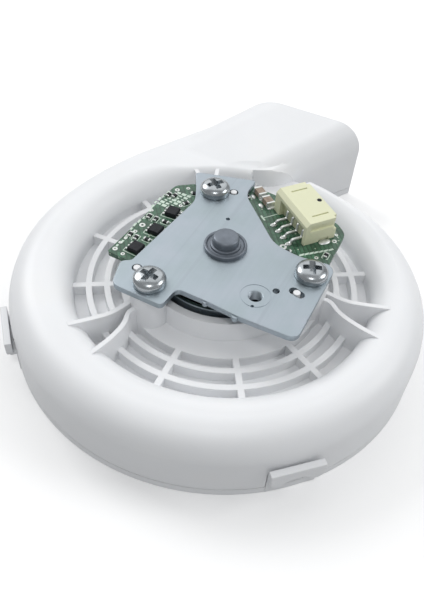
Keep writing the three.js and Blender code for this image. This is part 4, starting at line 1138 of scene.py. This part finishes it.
def moulded_plastic(name, colour, roughness, edge=0.22, grain=0.004, translucency=0.0):
    """Moulded plastic: faint clouding, a fine grain and slightly uneven gloss."""
    look = Look(name, colour, roughness)
    dark = tuple(c * 0.965 for c in colour)
    warm = tuple(min(1, c * k) for c, k in zip(colour, (1.012, 1.004, 0.99)))
    look.colour(look.ramp(look.noise(18, 4), (0.3, dark), (0.62, colour), (0.8, warm)))
    look.roughness(look.noise(3, 4), roughness - 0.05, roughness + 0.07)
    look.bump(look.noise(0.28, 2), grain, edge)
    if translucency:
        look.set("Subsurface Weight", translucency)
        look.set("Subsurface Radius", (1.2, 1.1, 1.0))
        look.set("Subsurface Scale", MM)
    return look.made


def zinc_plate():
    """Bright zinc on pressed sheet: bluish clouds, rolling lines and a few scratches."""
    look = Look("zinc_plated_steel", (0.385, 0.44, 0.48), 0.42, 1)
    shades = ((0.25, (0.36, 0.42, 0.445)), (0.5, (0.385, 0.44, 0.48)), (0.75, (0.42, 0.46, 0.51)))
    tint = look.ramp(look.noise(7, 5), *shades)
    lines = look.noise(0.9, 4, look.stretched((1, 0.03, 1), 24))
    scratch = look.noise(1.6, 2, look.stretched((1, 0.015, 1), -37))
    look.colour(look.mix(look.ramp(scratch, (0.66, 0.0), (0.7, 0.35)), tint, (0.34, 0.38, 0.42, 1)))
    look.roughness(lines, 0.36, 0.56)
    look.bump(lines, 0.006)
    return look.made


def turned_metal(name, colour, roughness, metallic=1.0):
    """Turned or ground metal: fine rings round the axis and small stains."""
    look = Look(name, colour, roughness, metallic)
    look.colour(look.ramp(look.noise(1.8, 4), (0.3, tuple(c * 0.78 for c in colour)), (0.7, colour)))
    rings = look.noise(0.25, 3, look.stretched((0.15, 0.15, 1)))
    look.roughness(rings, roughness - 0.08, roughness + 0.12)
    look.bump(rings, 0.004)
    return look.made


def banded(name, colour, roughness, spacing, low, high, height, distortion=0):
    """Metal in thin layers one above the other: wound wire or stacked sheets."""
    look = Look(name, colour, roughness, 0.9)
    bands = look.texture("Wave", Scale=1 / (spacing * MM), Distortion=distortion)
    bands.bands_direction = "Z"
    look.colour(look.ramp(bands.outputs["Fac"], low, high))
    look.bump(bands.outputs["Fac"], height)
    return look.made


def mottled(name, colour, roughness, dark, light, patch, grain, specular=0.5):
    """The mottled body of a chip or a capacitor."""
    look = Look(name, colour, roughness)
    look.colour(look.ramp(look.noise(patch, 4), (0.3, dark), (0.7, light)))
    look.bump(look.noise(grain, 2), 0.006)
    look.set("Specular IOR Level", specular)
    return look.made


def solder_mask():
    """Green solder mask over copper: pale tracks, darker gaps and speckled vias."""
    look = Look("solder_mask", (0.04, 0.17, 0.08), 0.34)
    tracks = look.texture(
        "Brick", look.stretched((1, 1, 1), 51), Scale=1 / (3 * MM), Mortar_Size=0.06, Mortar_Smooth=0.2,
        Brick_Width=1.3, Row_Height=0.28, Color1=(0.065, 0.185, 0.105, 1), Color2=(0.045, 0.13, 0.075, 1),
        Mortar=(0.032, 0.1, 0.055, 1),
    )
    cloud = look.ramp(look.noise(1.6, 4), (0.38, 0.6), (0.66, 1.0))
    base = look.mix(1.0, tracks.outputs["Color"], cloud, "MULTIPLY")
    specks = look.texture("Voronoi", Scale=1 / (1.5 * MM))
    via = look.ramp(specks.outputs["Distance"], (0.1, 1.0), (0.14, 0.0))
    look.colour(look.mix(via, base, (0.42, 0.5, 0.38, 1)))
    look.bump(tracks.outputs["Fac"], 0.02)
    look.set("Coat Weight", 0.3)
    look.set("Coat Roughness", 0.2)
    return look.made


def moulded_rubber():
    look = Look("seal_rubber", (0.02, 0.02, 0.022), 0.78)
    look.roughness(look.noise(1.2, 4), 0.68, 0.9)
    look.bump(look.noise(0.2, 3), 0.015)
    return look.made


def floor_paint():
    look = Look("floor", (0.95, 0.95, 0.95), 0.95)
    look.colour(look.ramp(look.noise(400, 2), (0.3, 0.94), (0.7, 0.96)))
    look.bump(look.noise(2, 2), 0.01)
    look.set("Emission Color", (1, 1, 1, 1))
    look.set("Emission Strength", 0.08)
    return look.made


# Plastics as (name, colour, roughness, rounded edge, grain height, translucency).
PLASTICS = (
    ("white_plastic", (0.82, 0.83, 0.845), 0.42, 0.22, 0.004, 0.06),
    ("cover_plastic", (0.8, 0.81, 0.825), 0.46, 0.22, 0.004, 0.06),
    ("impeller_plastic", (0.025, 0.026, 0.029), 0.46, 0.1),
    ("insulator", (0.6, 0.55, 0.42), 0.5, 0.1),
    ("connector_plastic", (0.73, 0.74, 0.52), 0.44, 0.08, 0.003, 0.12),
    ("print", (0.6, 0.72, 0.62), 0.6, 0),
)
# Metals as (name, colour, roughness, metallic).
METALS = (
    ("screw_steel", (0.46, 0.49, 0.51), 0.24),
    ("shaft_steel", (0.62, 0.63, 0.65), 0.2),
    ("bearing_steel", (0.55, 0.56, 0.58), 0.25),
    ("hub_metal", (0.19, 0.215, 0.25), 0.42, 0.6),
    ("brass", (0.6, 0.43, 0.16), 0.3),
    ("magnet", (0.035, 0.035, 0.038), 0.55, 0.3),
    ("tin", (0.78, 0.8, 0.78), 0.36, 0.75),
)
# Layered metals as (name, colour, roughness, spacing, low stop, high stop, bump height, distortion).
LAYERED = (
    ("lamination", (0.2, 0.21, 0.22), 0.5, 2.2, (0.2, (0.08, 0.08, 0.09)), (0.7, (0.26, 0.27, 0.29)), 0.05),
    ("copper_wire", (0.5, 0.19, 0.07), 0.3, 1.2, (0.1, (0.16, 0.05, 0.02)), (0.6, (0.55, 0.22, 0.08)),
     0.08, 0.6),
)
# Bodies of board parts as (name, colour, roughness, dark, light, patch size, grain size, specular level).
BOARD_PARTS = (
    ("chip", (0.022, 0.023, 0.025), 0.48, (0.008, 0.009, 0.012), (0.018, 0.02, 0.024), 0.5, 0.08, 0.25),
    ("ceramic", (0.3, 0.23, 0.17), 0.5, (0.22, 0.16, 0.12), (0.36, 0.29, 0.23), 0.7, 0.1),
)
LOOKS = {"seal_rubber": moulded_rubber(), "zinc_steel": zinc_plate(), "board": solder_mask()}
LOOKS |= {row[0]: moulded_plastic(*row) for row in PLASTICS}
LOOKS |= {row[0]: turned_metal(*row) for row in METALS}
LOOKS |= {row[0]: banded(*row) for row in LAYERED}
LOOKS |= {row[0]: mottled(*row) for row in BOARD_PARTS}


# ---- floor, light and camera ----
FLOOR_REACH = 3000
FLOOR_DROP = 0.1
WORLD_COLOUR = (0.97, 0.985, 1, 1)
WORLD_STRENGTH = 0.42
# Soft boxes as (name, place in metres, size in metres, watts).
SOFT_BOXES = (
    ("back", (-0.24, 0.54, 0.62), 1.0, 2.6),
    ("left", (-0.75, 0.2, 0.6), 0.4, 3.15),
    ("right", (0.7, 0.4, 0.6), 0.4, 2.6),
    ("front", (0.15, -0.3, 0.7), 0.15, 0.95),
)
SENSOR_WIDTH = 36
CAMERA_LENS = 39.41
CAMERA_CLIP = 0.005
CAMERA_PLACE = Vector((35.3025, -84.7553, 101.592))
CAMERA_RIGHT = Vector((0.89077, 0.45147, 0.05193))
CAMERA_DOWN = Vector((0.36178, -0.63532, -0.68227))
CAMERA_FORWARD = Vector((-0.27503, 0.62653, -0.72926))


def make_floor():
    corners = [(*corner, 0) for corner in rectangle(FLOOR_REACH, FLOOR_REACH)]
    floor = new_object("floor", corners, [(0, 1, 2, 3)])
    floor.location.z = cad_low.z - FLOOR_DROP * MM
    floor.data.materials.append(floor_paint())
    floor.visible_diffuse = False


def make_world():
    world = bpy.data.worlds.new("studio")
    bpy.context.scene.world = world
    world.use_nodes = True
    background = world.node_tree.nodes["Background"]
    background.inputs["Color"].default_value = WORLD_COLOUR
    background.inputs["Strength"].default_value = WORLD_STRENGTH


def make_soft_box(name, place, size, watts):
    lamp = bpy.data.lights.new(name, "AREA")
    lamp.size = size
    lamp.energy = watts
    holder = bpy.data.objects.new(name, lamp)
    holder.location = place
    holder.rotation_euler = (-holder.location).to_track_quat("-Z", "Y").to_euler()
    in_scene(holder)


def make_camera():
    camera = bpy.data.cameras.new("camera")
    camera.sensor_width = SENSOR_WIDTH
    camera.lens = CAMERA_LENS
    camera.clip_start = CAMERA_CLIP
    holder = bpy.data.objects.new("camera", camera)
    rotation = Matrix((CAMERA_RIGHT, -CAMERA_DOWN, -CAMERA_FORWARD)).transposed()
    holder.matrix_world = Matrix.Translation(CAMERA_PLACE * MM + AXIS) @ rotation.to_4x4()
    bpy.context.scene.camera = in_scene(holder)


make_camera()
make_world()
for soft_box in SOFT_BOXES:
    make_soft_box(*soft_box)
make_floor()
bpy.context.scene.view_settings.view_transform = "Standard"

for part in frame["record"]["subparts"]:
    node = frame["nodes"][part["node"]]
    node.data.materials.clear()
    node.data.materials.append(LOOKS[part["material_slot"]])


# ---- pieces ----
def add(made, name, slot, node=None, body="housing", look=None):
    """Names the piece, smooths it, gives it its material and ties it to the frame."""
    made.name = name
    transformed(made, Matrix.Translation(AXIS))
    made.data.materials.clear()
    made.data.materials.append(LOOKS[look or slot])
    made.data.shade_smooth()
    made.data.set_sharp_from_angle(angle=radians(SHARP_ANGLE))
    weighted = made.modifiers.new("weighted normals", "WEIGHTED_NORMAL")
    weighted.keep_sharp = True
    weighted.weight = FACE_WEIGHT
    if node:
        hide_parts(node)
    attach(made, body)


add(upper_housing(), "volute_upper", "white_plastic", "upper_housing")
add(lower_cover(), "volute_cover", "cover_plastic", "lower_cover")
add(lathe(SEAL_SECTION), "eye_seal", "seal_rubber", "inlet_seal")
add(motor_bracket(), "bracket_plate", "zinc_steel", "motor_bracket")
add(lathe(HUB_SECTION, MEDIUM), "bearing_tube", "hub_metal", "bearing_housing")
add(lathe(CAP_SECTION, MEDIUM), "bearing_cap", "hub_metal", "hub_cap")
for number, spot in enumerate(MOSFETS, 1):
    add(screw(number - 1), f"pan_screw_{number}", "screw_steel", f"screw_{number}")
    add(set_at(mosfet(), *spot), f"power_chip_{number}", "chip", f"mosfet_{number}")
for number, spot in enumerate(CAPACITORS, 1):
    block = set_at(board_block(*CAPACITOR_BODY), *spot)
    add(block, f"ceramic_block_{number}", "ceramic", f"capacitor_{number}")
add(driver_board(), "circuit_board", "board", "driver_board")
add(connector_housing(), "wire_header", "connector_plastic", "connector_housing")
for number in range(1, PIN_COUNT + 1):
    add(connector_pin(number - 1), f"contact_{number}", "tin", f"connector_pin_{number}")
add(connector_solder(), "connector_solder", "tin")
add(merged(at_spots(MOSFETS, mosfet_leads)), "chip_leads", "tin")
ends = at_spots(CAPACITORS, capacitor_ends) + at_spots(SMALL_PARTS, small_part_ends)
add(merged(ends), "chip_ends", "tin")
dark_parts = [set_at(board_block(*SMALL_BODY), *spot) for spot in SMALL_PARTS]
add(merged([*dark_parts, connector_dot()]), "small_parts", "chip")
add(merged([pad(*spot) for spot in PADS]), "pads", "tin")
add(print_marks(), "print_marks", "board", look="print")
add(impeller_wheel(), "fan_wheel", "impeller_plastic", "impeller_wheel", "rotor")
add(lathe(SHROUD_SECTION), "fan_shroud", "impeller_plastic", "impeller_shroud", "rotor")
add(lathe(BUSH_SECTION, MEDIUM), "fan_bush", "brass", "impeller_bush", "rotor")
add(lathe(SHAFT_SECTION, MEDIUM), "spindle", "shaft_steel", "motor_shaft", "rotor")
add(lathe(CUP_SECTION), "rotor_bell", "zinc_steel", "rotor_cup", "rotor")
